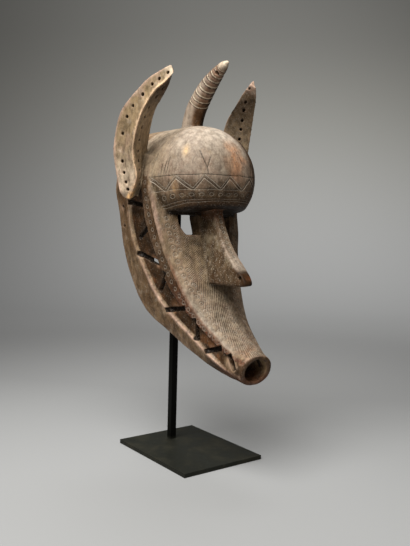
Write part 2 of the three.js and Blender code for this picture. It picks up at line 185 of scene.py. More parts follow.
# Lines round the dome: level, width, and how pale (plus) or dark (minus) they are
DOME_LINES = [(417.5, 1.2, -0.8), (396.5, 1.2, 0.6), (376.5, 1.1, 0.5), (372.5, 1.1, 0.5)]
# Zigzag round the dome: levels, then in degrees its start, the span of one tooth and its way down
ZIGZAG_TOP = 415.0
ZIGZAG_HEIGHT = 18.0
ZIGZAG_LOW = ZIGZAG_TOP - ZIGZAG_HEIGHT
ZIGZAG_LEVELS = (ZIGZAG_LOW - 2, ZIGZAG_TOP + 2)
ZIGZAG_START = -60.5
ZIGZAG_SPAN = 28.6
ZIGZAG_DOWN = 18.0
ZIGZAG_CLIMB = ZIGZAG_HEIGHT / (ZIGZAG_SPAN - ZIGZAG_DOWN)
# Shortest way to a slanting line for each unit straight up or down
ZIGZAG_SLOPE = 0.75

# Forked cracks in the dome: both ends, round it and up, in millimetres
DOME_CRACKS = [
    (-52, 450, -41, 427), (-41, 427, -39, 417), (-36, 441, -41, 427),
    (-101, 436, -104, 418), (-97, 441, -99, 420), (-108, 431, -109, 419),
    (16, 456, 22, 436), (50, 448, 41, 426), (41, 426, 40, 417),
]
DOME_MM_PER_DEGREE = 1.42
# Crack in the near side: y and z of both ends
SIDE_CRACK = (62, 371, 60, 350)

# Hatching of the face: strip width, slant and half spacing of its strokes, slant and half spacing
# of the long strokes below, and the degrees down the face over which one turns into the other
HATCH_STRIP, HATCH_SLANT, HATCH_STEP = 7.0, 1.1, 1.7
LONG_SLANT, LONG_STEP = 0.22, 1.5
HATCH_TURNS = (36, 41)

# Rings of the horn as places along it from 0 to 1: first, last and spacing
HORN_RINGS = (0.375, 0.79, 0.0519)
HORN_LENGTH = 122.0


# Smooth helpers

def ramp(x, low, high):
    """0 below low, 1 above high and smooth between them."""
    t = np.clip((x - low) / (high - low), 0, 1)
    return t * t * (3 - 2 * t)


def fade(x, low, high):
    return 1 - ramp(x, low, high)


def within(x, low, high):
    return (x > low) & (x < high)


def hump(x, centre, width):
    return np.exp(-((x - centre) / width) ** 2)


def mix(a, b, t):
    return a + (b - a) * t


def smooth_max(a, b, k):
    h = np.clip(0.5 + 0.5 * (a - b) / k, 0, 1)
    return b + (a - b) * h + k * h * (1 - h)


def smooth_min(a, b, k):
    return -smooth_max(-a, -b, k)


def through_rows(table, t):
    """Smooth values through the rows of a table at positions t, counted in rows."""
    last = len(table) - 1
    i = np.clip(np.floor(t).astype(int), 0, last - 1)
    u = (t - i)[..., None]
    p0, p1 = table[np.maximum(i - 1, 0)], table[i]
    p2, p3 = table[i + 1], table[np.minimum(i + 2, last)]
    m1, m2 = (p2 - p0) / 2, (p3 - p1) / 2
    u2, u3 = u * u, u * u * u
    return (2 * u3 - 3 * u2 + 1) * p1 + (u3 - 2 * u2 + u) * m1 + (3 * u2 - 2 * u3) * p2 + (u3 - u2) * m2


def lattice_noise(points, size, seed):
    """Smooth noise from -1 to 1 whose lumps are about size across."""
    table = np.random.default_rng(seed).random(4096).astype(np.float32) * 2 - 1
    q = points / size
    cell = np.floor(q).astype(np.int64)
    f = q - cell
    f = f * f * (3 - 2 * f)
    total = 0
    for corner in range(8):
        offset = np.array([corner & 1, corner >> 1 & 1, corner >> 2 & 1])
        c = cell + offset
        key = (c[:, 0] * 73856093 ^ c[:, 1] * 19349663 ^ c[:, 2] * 83492791) & 4095
        weight = np.prod(np.where(offset, f, 1 - f), axis=1)
        total = total + table[key] * weight
    return total


# The face in its bent frame

def bent_frame(y, z):
    """Distance from the pivot line and degrees below level."""
    return np.hypot(y - PIVOT_Y, z - PIVOT_Z), np.degrees(np.arctan2(PIVOT_Z - z, y - PIVOT_Y))


def bent_point(distance, angle):
    a = math.radians(angle)
    return PIVOT_Y + distance * math.cos(a), PIVOT_Z - distance * math.sin(a)


def section_at(angle):
    rows = np.interp(angle, SECTIONS[:, 0], np.arange(len(SECTIONS)))
    values = np.moveaxis(through_rows(SECTIONS[:, 1:], rows), -1, 0)
    return SimpleNamespace(**dict(zip(SECTION_KEYS, values)))


def arch_power(angle):
    upper = fade(angle, 2, 22)
    return mix(0.8, 0.5, np.maximum(upper, ramp(angle, 68, SNOUT_ANGLE)))


def steps(x, knots):
    """Straight pieces through (position, value) knots that may themselves be arrays."""
    value = knots[0][1]
    for (x0, v0), (x1, v1) in zip(knots, knots[1:]):
        value = value + (v1 - v0) * np.clip((x - x0) / np.maximum(x1 - x0, 0.1), 0, 1)
    return value


def side_width(s, r, angle):
    """Half width of the face block: shoulder, recessed row of teeth, jaw bar, back edge."""
    recess = TOOTH_RECESS * ramp(angle, -4, 2) * fade(angle, 73, 76)
    shoulder = mix(s.front, s.side, 0.4 + 0.35 * ramp(angle, 70, SNOUT_ANGLE))
    return steps(r, [
        (s.ridge, s.front),
        (s.band, shoulder),
        (s.band + 2, shoulder - recess),
        (s.jaw - 3, s.side - recess),
        (s.jaw, s.side),
        ((s.jaw + s.rim) / 2, mix(s.side, s.back, 0.4)),
        (s.rim - 2, s.back),
        (s.rim, s.back - 3),
    ])


def slit_field(y, z, depth):
    """Distance to the nearest slit of one depth, seen from the side."""
    nearest = np.full(np.broadcast(y, z).shape, 1e3)
    for r0, a0, r1, a1 in SLITS[depth]:
        (y0, z0), (y1, z1) = bent_point(r0, a0), bent_point(r1, a1)
        length = math.hypot(y1 - y0, z1 - z0)
        ey, ez = (y1 - y0) / length, (z1 - z0) / length
        along = (y - y0) * ey + (z - z0) * ez
        across = (z - z0) * ey - (y - y0) * ez
        ends = np.abs(along - length / 2) - length / 2
        nearest = np.minimum(nearest, smooth_max(np.abs(across) - SLIT_WIDTH / 2, ends, 1.0))
    return nearest


def horn_place(y, z):
    """Position 0 to 1 along the horn, distance from its centre line and radius there."""
    t = np.linspace(0, 1, 121)
    line = through_rows(HORN, t * (len(HORN) - 1))
    best = np.full(y.shape, 1e9)
    place = np.zeros(y.shape)
    for k in range(len(t)):
        d = (y - line[k, 0]) ** 2 + (z - line[k, 1]) ** 2
        closer = d < best
        best[closer] = d[closer]
        place[closer] = t[k]
    return place, np.sqrt(best), np.interp(place, t, line[:, 2])


def plane_fields(y, z):
    """Everything about the mask that doesn't depend on x, on a grid of y and z."""
    p = SimpleNamespace(y=y, z=z)
    r, angle = bent_frame(y, z)
    s = section_at(angle)
    p.r = r
    p.power = arch_power(angle)
    p.crown, p.ridge, p.front = s.crown, s.ridge, s.front
    p.side = side_width(s, r, angle)
    p.tube = ramp(angle, 64, 75)
    p.tube_wide = s.side
    p.tube_high = (s.rim - s.crown) / 2
    p.tube_rise = np.abs(r - (s.crown + s.rim) / 2)
    ends = np.maximum(angle - SNOUT_ANGLE, SECTIONS[0, 0] - angle) * np.radians(r)
    p.ends = np.maximum(r - s.rim, ends)
    p.cavity_width, p.cavity_front, p.cavity_bow, p.cavity_ends = cavity_plan(s, r, angle)
    p.back_cut = np.where(z > HOOD_LOW, y - HOOD_BACK, -50.0)
    p.slits = np.stack([slit_field(y, z, depth) for depth in SLITS])

    level = nose_level(z)
    lean = np.gradient(level[..., 0], axis=1) / np.gradient(z, axis=1)
    front = level[..., 0]
    back = np.clip((y - front) / (NOSE_BACK - front), 0, 1)
    p.nose_half = mix(level[..., 1], level[..., 2], np.where(back < 0.5, 1.1 * back, 0.1 + 0.9 * back))
    edge = np.maximum((front - y) / np.sqrt(1 + lean ** 2), y - NOSE_BACK)
    p.nose_edge = smooth_max(edge, np.maximum(NOSE[0, 0] - z, z - NOSE[-1, 0]), 6)

    _, distance, radius = horn_place(y, z)
    p.horn_distance, p.horn_radius = distance, radius

    bore_y, bore_z = bent_point(SNOUT_CENTRE, SNOUT_ANGLE)
    a = math.radians(SNOUT_ANGLE)
    p.bore_out = -(y - bore_y) * math.sin(a) - (z - bore_z) * math.cos(a)
    p.bore_up = (y - bore_y) * math.cos(a) - (z - bore_z) * math.sin(a)

    holes = [NOSE_HOLE, HORN_HOLE]
    holes += [(*bent_point(distance, angle), RIM_HOLE_RADIUS) for distance, angle in RIM_HOLES]
    p.holes = np.min([np.hypot(y - hy, z - hz) - radius for hy, hz, radius in holes], axis=0)
    return SimpleNamespace(**{key: value.astype(np.float32) for key, value in vars(p).items()})


def rounded(x, y, z, shape):
    """Rough distance to a rounded body whose rear half is drawn out straight to the back."""
    centre, radii, power = shape
    u = np.abs(x - centre[0]) / radii[0]
    v = np.maximum(centre[1] - y, 0) / radii[1]
    h = (z - centre[2]) / radii[2]
    level = np.maximum((u ** power + v ** power) ** (1 / power), 1e-3)
    q = np.sqrt(level * level + h * h)
    across = (u / level) ** (power - 1) / radii[0]
    ahead = (v / level) ** (power - 1) / radii[1]
    slope = np.sqrt(level * level * (across * across + ahead * ahead) + (h / radii[2]) ** 2) / q
    return (q - 1) / np.maximum(slope, 1e-4)


def dome_floor(y):
    """Level of the dome's underside, which rises towards the front."""
    return DOME_FLOOR + DOME_FLOOR_RISE * np.maximum(DOME_FLOOR_FRONT - y, 0)


# Ears

def ear_edges(rows):
    """Front, outer and inner edge of the ear's section, its facet's run, the way in, the width."""
    edges = through_rows(EAR, rows).reshape(-1, 3, 3)
    front, outer, inner = edges[:, 0], edges[:, 1], edges[:, 2]
    facet = outer - front
    width = np.linalg.norm(facet, axis=1, keepdims=True)
    along = facet / width
    across = inner - front
    inward = across - along * np.sum(across * along, axis=1, keepdims=True)
    inward /= np.linalg.norm(inward, axis=1, keepdims=True)
    return front, outer, inner, along, inward, width


def ear_stations():
    front, outer, inner, along, inward, width = ear_edges(np.linspace(0, len(EAR) - 1, 46))
    bulge = np.zeros_like(front)
    bulge[:, 1:2] = 5 * width / 32
    back = mix(outer, inner, 0.5) + bulge
    corners = np.stack([
        front,
        mix(front, outer, 0.5) + inward * 2.5 * width / 32,
        outer,
        mix(outer, back, 0.12) + 0.35 * bulge,
        back,
        mix(inner, back, 0.25) + 0.3 * bulge,
        inner,
    ], axis=1)
    flat = corners - front[:, None]
    outline = np.stack([np.sum(flat * along[:, None], 2), np.sum(flat * inward[:, None], 2)], 2)
    centre = (front + outer + inner) / 3
    path = np.gradient(centre, axis=0)
    normal = np.cross(along, inward)
    pitch = np.sum(path * normal, axis=1, keepdims=True)
    normal *= np.sign(pitch)
    return SimpleNamespace(
        front=front, along=along, inward=inward, outline=outline,
        centre=centre, normal=normal, pitch=np.abs(pitch[:, 0]),
    )


def ear_place(points, ear):
    """Station, distance past the ends, place in the section and its outline, for +X points."""
    best = np.full(len(points), 1e9)
    k = np.zeros(len(points), int)
    for i, centre in enumerate(ear.centre):
        d = np.sum((points - centre) ** 2, axis=1)
        closer = d < best
        best[closer] = d[closer]
        k[closer] = i
    ahead = np.sum((points - ear.centre[k]) * ear.normal[k], axis=1)
    last = len(ear.centre) - 1
    station = k + ahead / ear.pitch[k]
    beyond = np.where(station < 0, -ahead, np.where(station > last, ahead, -10.0))
    station = np.clip(station, 0, last)
    i = np.minimum(station.astype(int), last - 1)
    w = (station - i)[:, None]
    front, along, inward = (mix(edge[i], edge[i + 1], w) for edge in (ear.front, ear.along, ear.inward))
    offset = points - front
    place = np.stack([np.sum(offset * along, 1), np.sum(offset * inward, 1)], 1)
    outline = mix(ear.outline[i], ear.outline[i + 1], w[..., None])
    return station / last, beyond, place, outline


def outline_distance(p, outline):
    """Signed distance from points to outlines with the same number of corners, one for each."""
    d = np.sum((p - outline[:, 0]) ** 2, axis=1)
    outside = np.ones(len(p), bool)
    count = outline.shape[1]
    for i in range(count):
        a, b = outline[:, i], outline[:, i - 1]
        e, w = b - a, p - a
        t = np.clip(np.sum(w * e, 1) / np.maximum(np.sum(e * e, 1), 1e-9), 0, 1)
        d = np.minimum(d, np.sum((w - e * t[:, None]) ** 2, axis=1))
        above, below = p[:, 1] >= a[:, 1], p[:, 1] < b[:, 1]
        left = e[:, 0] * w[:, 1] > e[:, 1] * w[:, 0]
        outside ^= (above & below & left) | (~above & ~below & ~left)
    return np.sqrt(d) * np.where(outside, 1, -1)


def outer_hole(t):
    """Seat and direction of a hole in the outer facet."""
    front, outer, _, _, inward, width = (v[0] for v in ear_edges(np.array([t * (len(EAR) - 1)])))
    return mix(outer, front, min(0.5, 12.5 / width[0])), inward, width[0]


def ear_holes():
    """Start and end of each hole drilled in the +X ear."""
    drills = []
    rows = len(EAR) - 1
    for t in np.delete(EAR_OUTER_HOLES, FILLED_HOLE):
        seat, inward, width = outer_hole(t)
        drills.append((seat - 8 * inward, seat + min(30, width + 6) * inward))
    for t in EAR_INNER_HOLES:
        front, _, inner = through_rows(EAR, np.array([t * rows])).reshape(3, 3)
        across = inner - front
        reach = np.linalg.norm(across)
        seat = front + across * min(0.6, 17.5 / reach)
        inward = np.array([0.55, 0.82, 0])
        drills.append((seat - 8 * inward, seat + 7 * inward))
    return drills


def ear_field(points, ear, drills):
    _, beyond, place, outline = ear_place(points, ear)
    field = smooth_max(outline_distance(place, outline), beyond, 2.5)
    for start, end in drills:
        length = np.linalg.norm(end - start)
        axis = (end - start) / length
        offset = points - start
        along = offset @ axis
        around = np.sqrt(np.maximum(np.sum(offset ** 2, 1) - along ** 2, 0))
        drill = np.maximum(around - EAR_HOLE_RADIUS, np.abs(along - length / 2) - length / 2)
        field = smooth_max(field, -drill, 0.5)
    return field


def ear_block(axes):
    """The ears' field on the whole grid, worked out once on the +X side and mirrored."""
    x, y, z = axes
    field = np.full((len(x), len(y), len(z)), 30, np.float32)
    i, j, k = (np.flatnonzero(within(a, *reach)) for a, reach in zip(axes, EAR_BOX))
    ear, drills = ear_stations(), ear_holes()
    spot = np.stack(np.meshgrid(y[j], z[k], indexing="ij"), -1).reshape(-1, 2)

    def layer(index):
        points = np.column_stack([np.full(len(spot), x[index]), spot])
        return ear_field(points, ear, drills).reshape(len(j), len(k))

    with ThreadPoolExecutor(4) as pool:
        layers = list(pool.map(layer, i))
    for index, values in zip(i, layers):
        field[index, j[0]:j[-1] + 1, k[0]:k[-1] + 1] = values
        field[len(x) - 1 - index, j[0]:j[-1] + 1, k[0]:k[-1] + 1] = values
    return field


# Nose and hollows, for the field and for the paint

def nose_level(z):
    """Front of the nose and its half widths at the front and at the face."""
    return through_rows(NOSE[:, 1:], np.interp(z, NOSE[:, 0], np.arange(len(NOSE))))


def cavity_plan(s, r, angle):
    """Hollow of the face: half width, front wall in the middle, how far it bows, both ends."""
    closing = ramp(angle, 50, CAVITY_END)
    width = s.front - mix(SIDE_WALL, SIDE_WALL + 4, closing)
    width = steps(r, [(s.jaw, width), (s.rim, s.back - SIDE_WALL)])
    ends = np.maximum(angle - CAVITY_END, CAVITY_START - angle) * np.radians(r)
    return width, s.ridge + FACE_WALL, CAVITY_CROWN * (1 - 0.6 * closing), ends


def hollow_field(x, y, z, r, width, front, bow, ends):
    """The hollow of the face and the vault of the dome together."""
    v = np.clip(x / width, 0, 1)
    cavity = smooth_max(front - bow * (1 - v * v) - r, x - width, 6)
    cavity = smooth_max(cavity, ends, 5)
    return smooth_min(np.maximum(rounded(x, y, z, VAULT), VAULT_FLOOR - z), cavity, 5)


# The whole mask as one field, negative inside the wood

def mask_field(x, p, ears):
    x = np.abs(x).astype(np.float32)[:, None, None]
    y, z, r = p.y, p.z, p.r

    u = np.clip(x / p.front, 0, 0.995)
    bow = 1 - u * u
    rise = bow ** p.power
    height = p.crown - p.ridge
    slope = height * p.power * rise / bow * -2 * u / p.front
    front = (p.ridge + height * rise - r) / np.sqrt(1 + np.minimum(slope ** 2, 4))
    face = smooth_max(front, x - p.side, 3)
    tube = (x / p.tube_wide) ** TUBE_POWER + (p.tube_rise / p.tube_high) ** TUBE_POWER
    tube = tube ** (1 / TUBE_POWER)
    face = mix(face, (tube - 1) * p.tube_high, p.tube)
    face = smooth_max(face, p.ends, 3)

    dome = smooth_max(rounded(x, y, z, DOME), dome_floor(y) - z, 4)
    joint = mix(*DOME_JOINT, ramp(z, *JOINT_LEVELS))
    body = smooth_max(smooth_min(face, dome, joint), p.back_cut, 2)
    body = smooth_min(body, smooth_max(x - p.nose_half, p.nose_edge, 3), 3)
    horn = np.sqrt(x * x + p.horn_distance ** 2) - p.horn_radius
    body = smooth_min(body, horn, 3)
    body = smooth_min(body, ears, 3)

    hollow = hollow_field(x, y, z, r, p.cavity_width, p.cavity_front, p.cavity_bow, p.cavity_ends)
    body = smooth_max(body, -hollow, 2.5)

    ring = np.sqrt((x / BORE[0]) ** 2 + (p.bore_up / BORE[1]) ** 2)
    bore = smooth_max((ring - 1) * BORE[1], -BORE[2] - p.bore_out, 4)
    body = smooth_max(body, -bore, 2)
    for depth, outline in zip(SLITS, p.slits):
        slit = smooth_max(outline + SLIT_TAPER * (p.side - x), p.side - depth - x, 1)
        body = smooth_max(body, -slit, 1.2)
    eye = smooth_max(np.abs(x - EYE_MIDDLE) - EYE_HALF, np.abs(z - EYE_LEVEL) - EYE_RISE, 2)
    outer, low = EYE_MIDDLE + EYE_HALF, EYE_LEVEL - EYE_RISE
    lower_corner = 0.86 * (x - outer + 10) - 0.51 * (z - low) - 1
    eye = smooth_max(eye, lower_corner, 4)
    eye = np.maximum(eye, np.maximum(EYE_FRONT - y, y - EYE_BACK))
    body = smooth_max(body, -eye, 1.5)
    return smooth_max(body, -p.holes, 0.6)


def mask_grid():
    axes = []
    for low, high in zip(LOW, HIGH):
        count = int(round((high - low) / GRID_STEP)) // 2 * 2 + 1
        axes.append((low + high) / 2 + (np.arange(count) - count // 2) * GRID_STEP)
    x, y, z = axes
    plane = plane_fields(*np.meshgrid(y, z, indexing="ij"))
    ears = ear_block(axes)
    field = np.empty(ears.shape, np.float32)

    def slab(start):
        part = slice(start, start + 6)
        field[part] = mask_field(x[part], plane, ears[part])

    with ThreadPoolExecutor(4) as pool:
        list(pool.map(slab, range(0, len(x), 6)))
    return axes, field


# Surface of the field

def surface_net(axes, field):
    """Vertices in the cells that the surface crosses, and quads across the grid edges it cuts."""
    inside = field < 0
    nx, ny, nz = field.shape
    cells = (nx - 1, ny - 1, nz - 1)
    corners = list(product((0, 1), repeat=3))
    count = np.zeros(cells, np.uint8)
    for i, j, k in corners:
        count += inside[i:nx - 1 + i, j:ny - 1 + j, k:nz - 1 + k]
    index = np.argwhere((count > 0) & (count < 8))
    number = np.full(cells, -1, np.int32)
    number[tuple(index.T)] = np.arange(len(index))

    total = np.zeros((len(index), 3))
    crossings = np.zeros(len(index))
    for axis in range(3):
        for corner in (c for c in corners if c[axis] == 0):
            a = field[tuple((index + corner).T)]
            b = field[tuple((index + corner + np.eye(3, dtype=int)[axis]).T)]
            cut = (a < 0) != (b < 0)
            t = np.where(cut, a / np.where(cut, a - b, 1), 0)
            spot = np.array(corner, float) + np.zeros((len(index), 3))
            spot[:, axis] += t
            total += spot * cut[:, None]
            crossings += cut
    vertices = index + total / crossings[:, None]
    vertices = np.column_stack([axes[a][0] + vertices[:, a] * GRID_STEP for a in range(3)])

    quads = []
    for axis in range(3):
        lead = [slice(1, -1)] * 3
        lead[axis] = slice(0, -1)
        ahead = [slice(1, -1)] * 3
        ahead[axis] = slice(1, None)
        near, far = inside[tuple(lead)], inside[tuple(ahead)]
        b, c = (axis + 1) % 3, (axis + 2) % 3
        for solid_first in (True, False):
            edge = np.argwhere(near & ~far if solid_first else far & ~near)
            for other in (b, c):
                edge[:, other] += 1
            ring = []
            for db, dc in ((0, 0), (1, 0), (1, 1), (0, 1)):
                cell = edge.copy()
                cell[:, b] -= 1 - db
                cell[:, c] -= 1 - dc
                ring.append(number[tuple(cell.T)])
            quad = np.column_stack(ring)
            quads.append(quad if solid_first else quad[:, ::-1])
    return vertices, np.concatenate(quads)


def vertex_normals(vertices, quads):
    a, b, c, d = (vertices[quads[:, i]] for i in range(4))
    face = np.cross(c - a, d - b)
    normal = np.column_stack([
        sum(np.bincount(quads[:, i], face[:, axis], len(vertices)) for i in range(4)) for axis in range(3)
    ])
    return normal / np.maximum(np.linalg.norm(normal, axis=1, keepdims=True), 1e-9)


# Where a point of the surface is, for ornament and colour

def surface_places(points):
    """Named places and weights of surface points."""
    x, y, z = points.T
    r, angle = bent_frame(y, z)
    s = section_at(angle)
    ax = np.abs(x)
    w = SimpleNamespace(x=x, y=y, z=z, r=r, bend=angle, bend_mm=np.radians(r))
    w.drift, w.patches = lattice_noise(points, 26, 11), lattice_noise(points, 11, 12)
    dome = rounded(x, y, z, DOME)
    w.dome = ramp(-np.abs(dome), -3.5, -2) * ramp(z, 361, 363) * fade(y, 48, 62)
    turn = np.degrees(np.arctan2(x, DOME[0][1] - y))
    rise = (dome_floor(y) - DOME_FLOOR) * fade(z, 378, 402)
    w.level = z - rise + 0.05 * np.clip(-20 - turn, 0, 70) + 0.7 * lattice_noise(points, 14, 3)
    w.dome_edge = z - dome_floor(y)
    w.turn = turn - 0.28 * np.sign(turn) * np.maximum(np.abs(turn) - 61, 0)
    w.turn_mm = DOME_MM_PER_DEGREE * np.sqrt(np.clip(1 - ((z - DOME[0][2]) / DOME[1][2]) ** 2, 0.1, 1))

    w.horn_t, horn_d, horn_r = horn_place(y, z)
    horn = np.sqrt(x * x + horn_d ** 2) - horn_r
    w.horn = ramp(-horn, -3, -1.5) * ramp(z, 482, 492)
    w.horn_place = w.horn_t - 0.0006 * x + 0.004 * lattice_noise(points, 10, 6)

    near = (ax > 60) & (z > 380)
    w.ear = np.zeros(len(points))
    w.ear_t, w.ear_facet = np.zeros(len(points)), np.zeros(len(points))
    ear = ear_stations()
    mirrored = points[near]
    mirrored[:, 0] = ax[near]
    t, beyond, place, outline = ear_place(mirrored, ear)
    field = np.maximum(outline_distance(place, outline), beyond)
    w.ear[near] = ramp(-np.abs(field), -3, -1.5)
    w.ear_t[near] = t
    # 1 on the outer facet, 0 on the inner one
    w.ear_facet[near] = ramp(-place[:, 1], -5, -2.5)
    w.ear_front, w.ear_outer = np.full(len(points), 99.0), np.full(len(points), 99.0)
    filled = outer_hole(EAR_OUTER_HOLES[FILLED_HOLE])[0] * [-1, 1, 1]
    w.filler = fade(np.linalg.norm(points - filled, axis=1), 2, 3.2)
    w.ear_front[near] = np.hypot(*(place - outline[:, 0]).T)
    w.ear_outer[near] = np.hypot(*(place - outline[:, 2]).T)

    level = nose_level(z)
    back = np.clip((y - level[:, 0]) / (NOSE_BACK - level[:, 0]), 0, 1)
    half = mix(level[:, 1], level[:, 2], back)
    nose = np.maximum(ax - half, level[:, 0] - y)
    w.nose_back = y - level[:, 0]
    u = np.clip(ax / s.front, 0, 0.995)
    front = s.ridge + (s.crown - s.ridge) * (1 - u * u) ** arch_power(angle)
    off_face = front - r
    w.nose = ramp(-np.abs(nose), -4, -2) * ramp(off_face, 0.5, 3)
    w.nose *= within(z, *NOSE_LEVELS) * (ax < NOSE_REACH)
    w.knob = w.nose * fade(z, 282, 292) * ramp(-w.nose_back, -11, -4)
    w.panel = ramp(-np.abs(off_face), -3.5, -1.5) * (1 - w.nose) * (1 - w.dome)
    w.u = ax / s.front
    w.edge = ax - mix(0.825, 0.70, ramp(angle, 38, 47)) * s.front

    width = side_width(s, r, angle)
    outer_side = ramp(-np.abs(ax - width), -3, -1)
    w.side = outer_side * (1 - w.panel) * (1 - w.ear) * (1 - w.dome)
    w.slit = np.zeros(len(points))
    for depth in SLITS:
        edge = ramp(-slit_field(y, z, depth), -1.2, -0.3)
        w.slit = np.maximum(w.slit, edge * ramp(width - ax, 0.8, 2.2) * (ax > width - depth - 2))
    w.band_place = (r - s.ridge) / np.maximum(s.band - s.ridge, 1)
    w.band_line = r - (s.ridge + s.band) / 2
    w.band = w.side * within(w.band_place, -0.05, 1.05)
    w.jaw_place = r - s.jaw
    w.snout_end = fade(np.abs(angle - SNOUT_ANGLE) * w.bend_mm, 1, 2.5)

    hollow = hollow_field(ax, y, z, r, *cavity_plan(s, r, angle))
    w.inside = fade(hollow, 1, 2.5)
    return w


def groove(distance, width):
    """1 on a line, falling to 0 at half the width."""
    return np.clip(1 - np.abs(distance) / (width / 2), 0, 1) ** 0.7


def nearest_centre(place, first, spacing):
    """Offset from the nearest of evenly spaced centres."""
    return (np.mod((place - first) / spacing + 0.5, 1) - 0.5) * spacing


def ring_row(w, row):
    """Rings and their middle dots along one row."""
    part, along, across, value, first, last, spacing, radius = row
    place = getattr(w, along)
    scale = getattr(w, SCALES[along]) if along in SCALES else 1.0
    d = np.hypot(nearest_centre(place, first, spacing) * scale, getattr(w, across) - value)
    on = getattr(w, part) * within(place, first - spacing / 2, last + spacing / 2)
    return groove(d - radius, 1.7) * on, groove(d, 2.4) * on


def line(px, py, ax, ay, bx, by, width):
    ex, ey = bx - ax, by - ay
    t = np.clip(((px - ax) * ex + (py - ay) * ey) / (ex * ex + ey * ey), 0, 1)
    return groove(np.hypot(px - ax - t * ex, py - ay - t * ey), width)


class Carving:
    """Cuts gathered over the surface: how deep, and where they hold pale dust or dark grime and shade."""

    def __init__(self, count):
        self.depth, self.dust, self.dirt_and_shade = np.zeros(count), np.zeros(count), np.zeros(count)

    def cut(self, shape, depth, dust=0.0, dirt_and_shade=0.0):
        self.depth = np.maximum(self.depth, shape * depth)
        self.dust = np.maximum(self.dust, shape * dust)
        self.dirt_and_shade = np.maximum(self.dirt_and_shade, shape * dirt_and_shade)


def zigzag_offset(turn, level):
    """Distance above the zigzag that runs round the dome."""
    phase = np.mod(turn - ZIGZAG_START, ZIGZAG_SPAN)
    down = ZIGZAG_TOP - phase * ZIGZAG_HEIGHT / ZIGZAG_DOWN
    wave = np.maximum(down, ZIGZAG_LOW + (phase - ZIGZAG_DOWN) * ZIGZAG_CLIMB)
    return (level - wave) * ZIGZAG_SLOPE


def carve_dome(cuts, w):
    """Lines and double zigzags round the dome, and forked cracks above them."""
    span = w.dome * within(w.level, *ZIGZAG_LEVELS)
    off = zigzag_offset(w.turn, w.level)
    cuts.cut(groove(np.abs(off) - 1.1, 1.6) * span, 0.6)
    for level, width, _ in DOME_LINES:
        cuts.cut(groove(w.level - level, width + 0.4) * w.dome, 0.5)
    for ends in DOME_CRACKS:
        cuts.cut(line(w.turn * DOME_MM_PER_DEGREE, w.z, *ends, 1.9) * w.dome, 0.8, dirt_and_shade=1.0)


def carve_side(cuts, w):
    """Small zigzags where the side band narrows, its edge line, and a crack in the near side."""
    angle, band = w.bend, w.band
    wave = np.abs(np.mod(angle, 2.2) - 1.1) / 1.1 * 5 - 2.5
    cuts.cut(groove(w.band_line - wave, 2.2) * band * ramp(angle, 40, 44) * (angle < 73), 0.6, dust=0.6)
    cuts.cut(groove(w.band_place - 0.1, 0.16) * band * (angle > 0) * (angle < 72), 0.5, dirt_and_shade=0.6)
    cuts.cut(line(w.y, w.z, *SIDE_CRACK, 2.0) * (w.x < 0) * w.side, 1.2, dirt_and_shade=1.0)


def carvings(points, w):
    cuts = Carving(len(points))
    for row in RING_ROWS:
        ring, dot = ring_row(w, row)
        cuts.cut(ring, 0.8)
        cuts.cut(dot, 0.6)
    carve_dome(cuts, w)
    carve_side(cuts, w)
    first, last, spacing = HORN_RINGS
    ring = groove(nearest_centre(w.horn_place, first, spacing) * HORN_LENGTH, 2.4)
    cuts.cut(ring * w.horn * within(w.horn_place, first - 0.02, last + 0.02), 0.8)
    cuts.depth *= 0.8 + 0.2 * lattice_noise(points, 9, 4)
    return cuts


# Mesh

def add_object(name, data):
    """A new object of the scene that holds a mesh, a lamp or a camera."""
    obj = bpy.data.objects.new(name, data)
    bpy.context.scene.collection.objects.link(obj)
    return obj


def make_mesh(name, vertices, faces):
    mesh = bpy.data.meshes.new(name)
    mesh.from_pydata(vertices, [], faces)
    mesh.update()
    return mesh


def thinned(mesh, target):
    """The mesh with fewer triangles where it is smooth."""
    obj = add_object("thinning", mesh)
    modifier = obj.modifiers.new("thin", "DECIMATE")
    triangles = sum(len(p.vertices) - 2 for p in mesh.polygons)
    modifier.ratio = min(1.0, target / triangles)
    result = bpy.data.meshes.new_from_object(obj.evaluated_get(bpy.context.evaluated_depsgraph_get()))
    bpy.data.objects.remove(obj)
    bpy.data.meshes.remove(mesh)
    return result


def mesh_arrays(mesh):
    vertices = np.empty(len(mesh.vertices) * 3)
    mesh.vertices.foreach_get("co", vertices)
    normals = np.empty(len(mesh.vertices) * 3)
    mesh.vertices.foreach_get("normal", normals)
    edges = np.empty(len(mesh.edges) * 2, int)
    mesh.edges.foreach_get("vertices", edges)
    return vertices.reshape(-1, 3), normals.reshape(-1, 3), edges.reshape(-1, 2)


def hollowness(vertices, normals, edges, rounds):
    """How far the smoothed surface lies above each vertex: plus in hollows, minus on edges."""
    a, b = edges.T
    length = np.linalg.norm(vertices[a] - vertices[b], axis=1)
    weight = 1 / np.maximum(length, 0.3)
    total = np.bincount(a, weight, len(vertices)) + np.bincount(b, weight, len(vertices))
    moved = vertices.copy()
    for _ in range(rounds):
        pull = np.zeros_like(moved)
        for near, far in ((a, b), (b, a)):
            for i in range(3):
                pull[:, i] += np.bincount(near, weight * moved[far, i], len(vertices))
        moved = mix(moved, pull / np.maximum(total, 1e-9)[:, None], 0.6)
    return np.sum((moved - vertices) * normals, axis=1)


# Colours of the wood, linear

def colour(red, green, blue):
    """Linear colour from 0-255 screen values."""
    return np.array([(c / 255) ** 2.2 for c in (red, green, blue)])


BROWN = colour(132, 110, 84)
TAN = colour(148, 129, 104)
GREY = colour(136, 126, 112)
PALE = colour(178, 166, 151)
DARK = colour(84, 57, 31)
BLACK_BROWN = colour(34, 22, 9)
CREAM = colour(214, 198, 174)
RUST = colour(116, 68, 42)
AMBER = colour(182, 122, 78)
ROSE = colour(170, 141, 124)


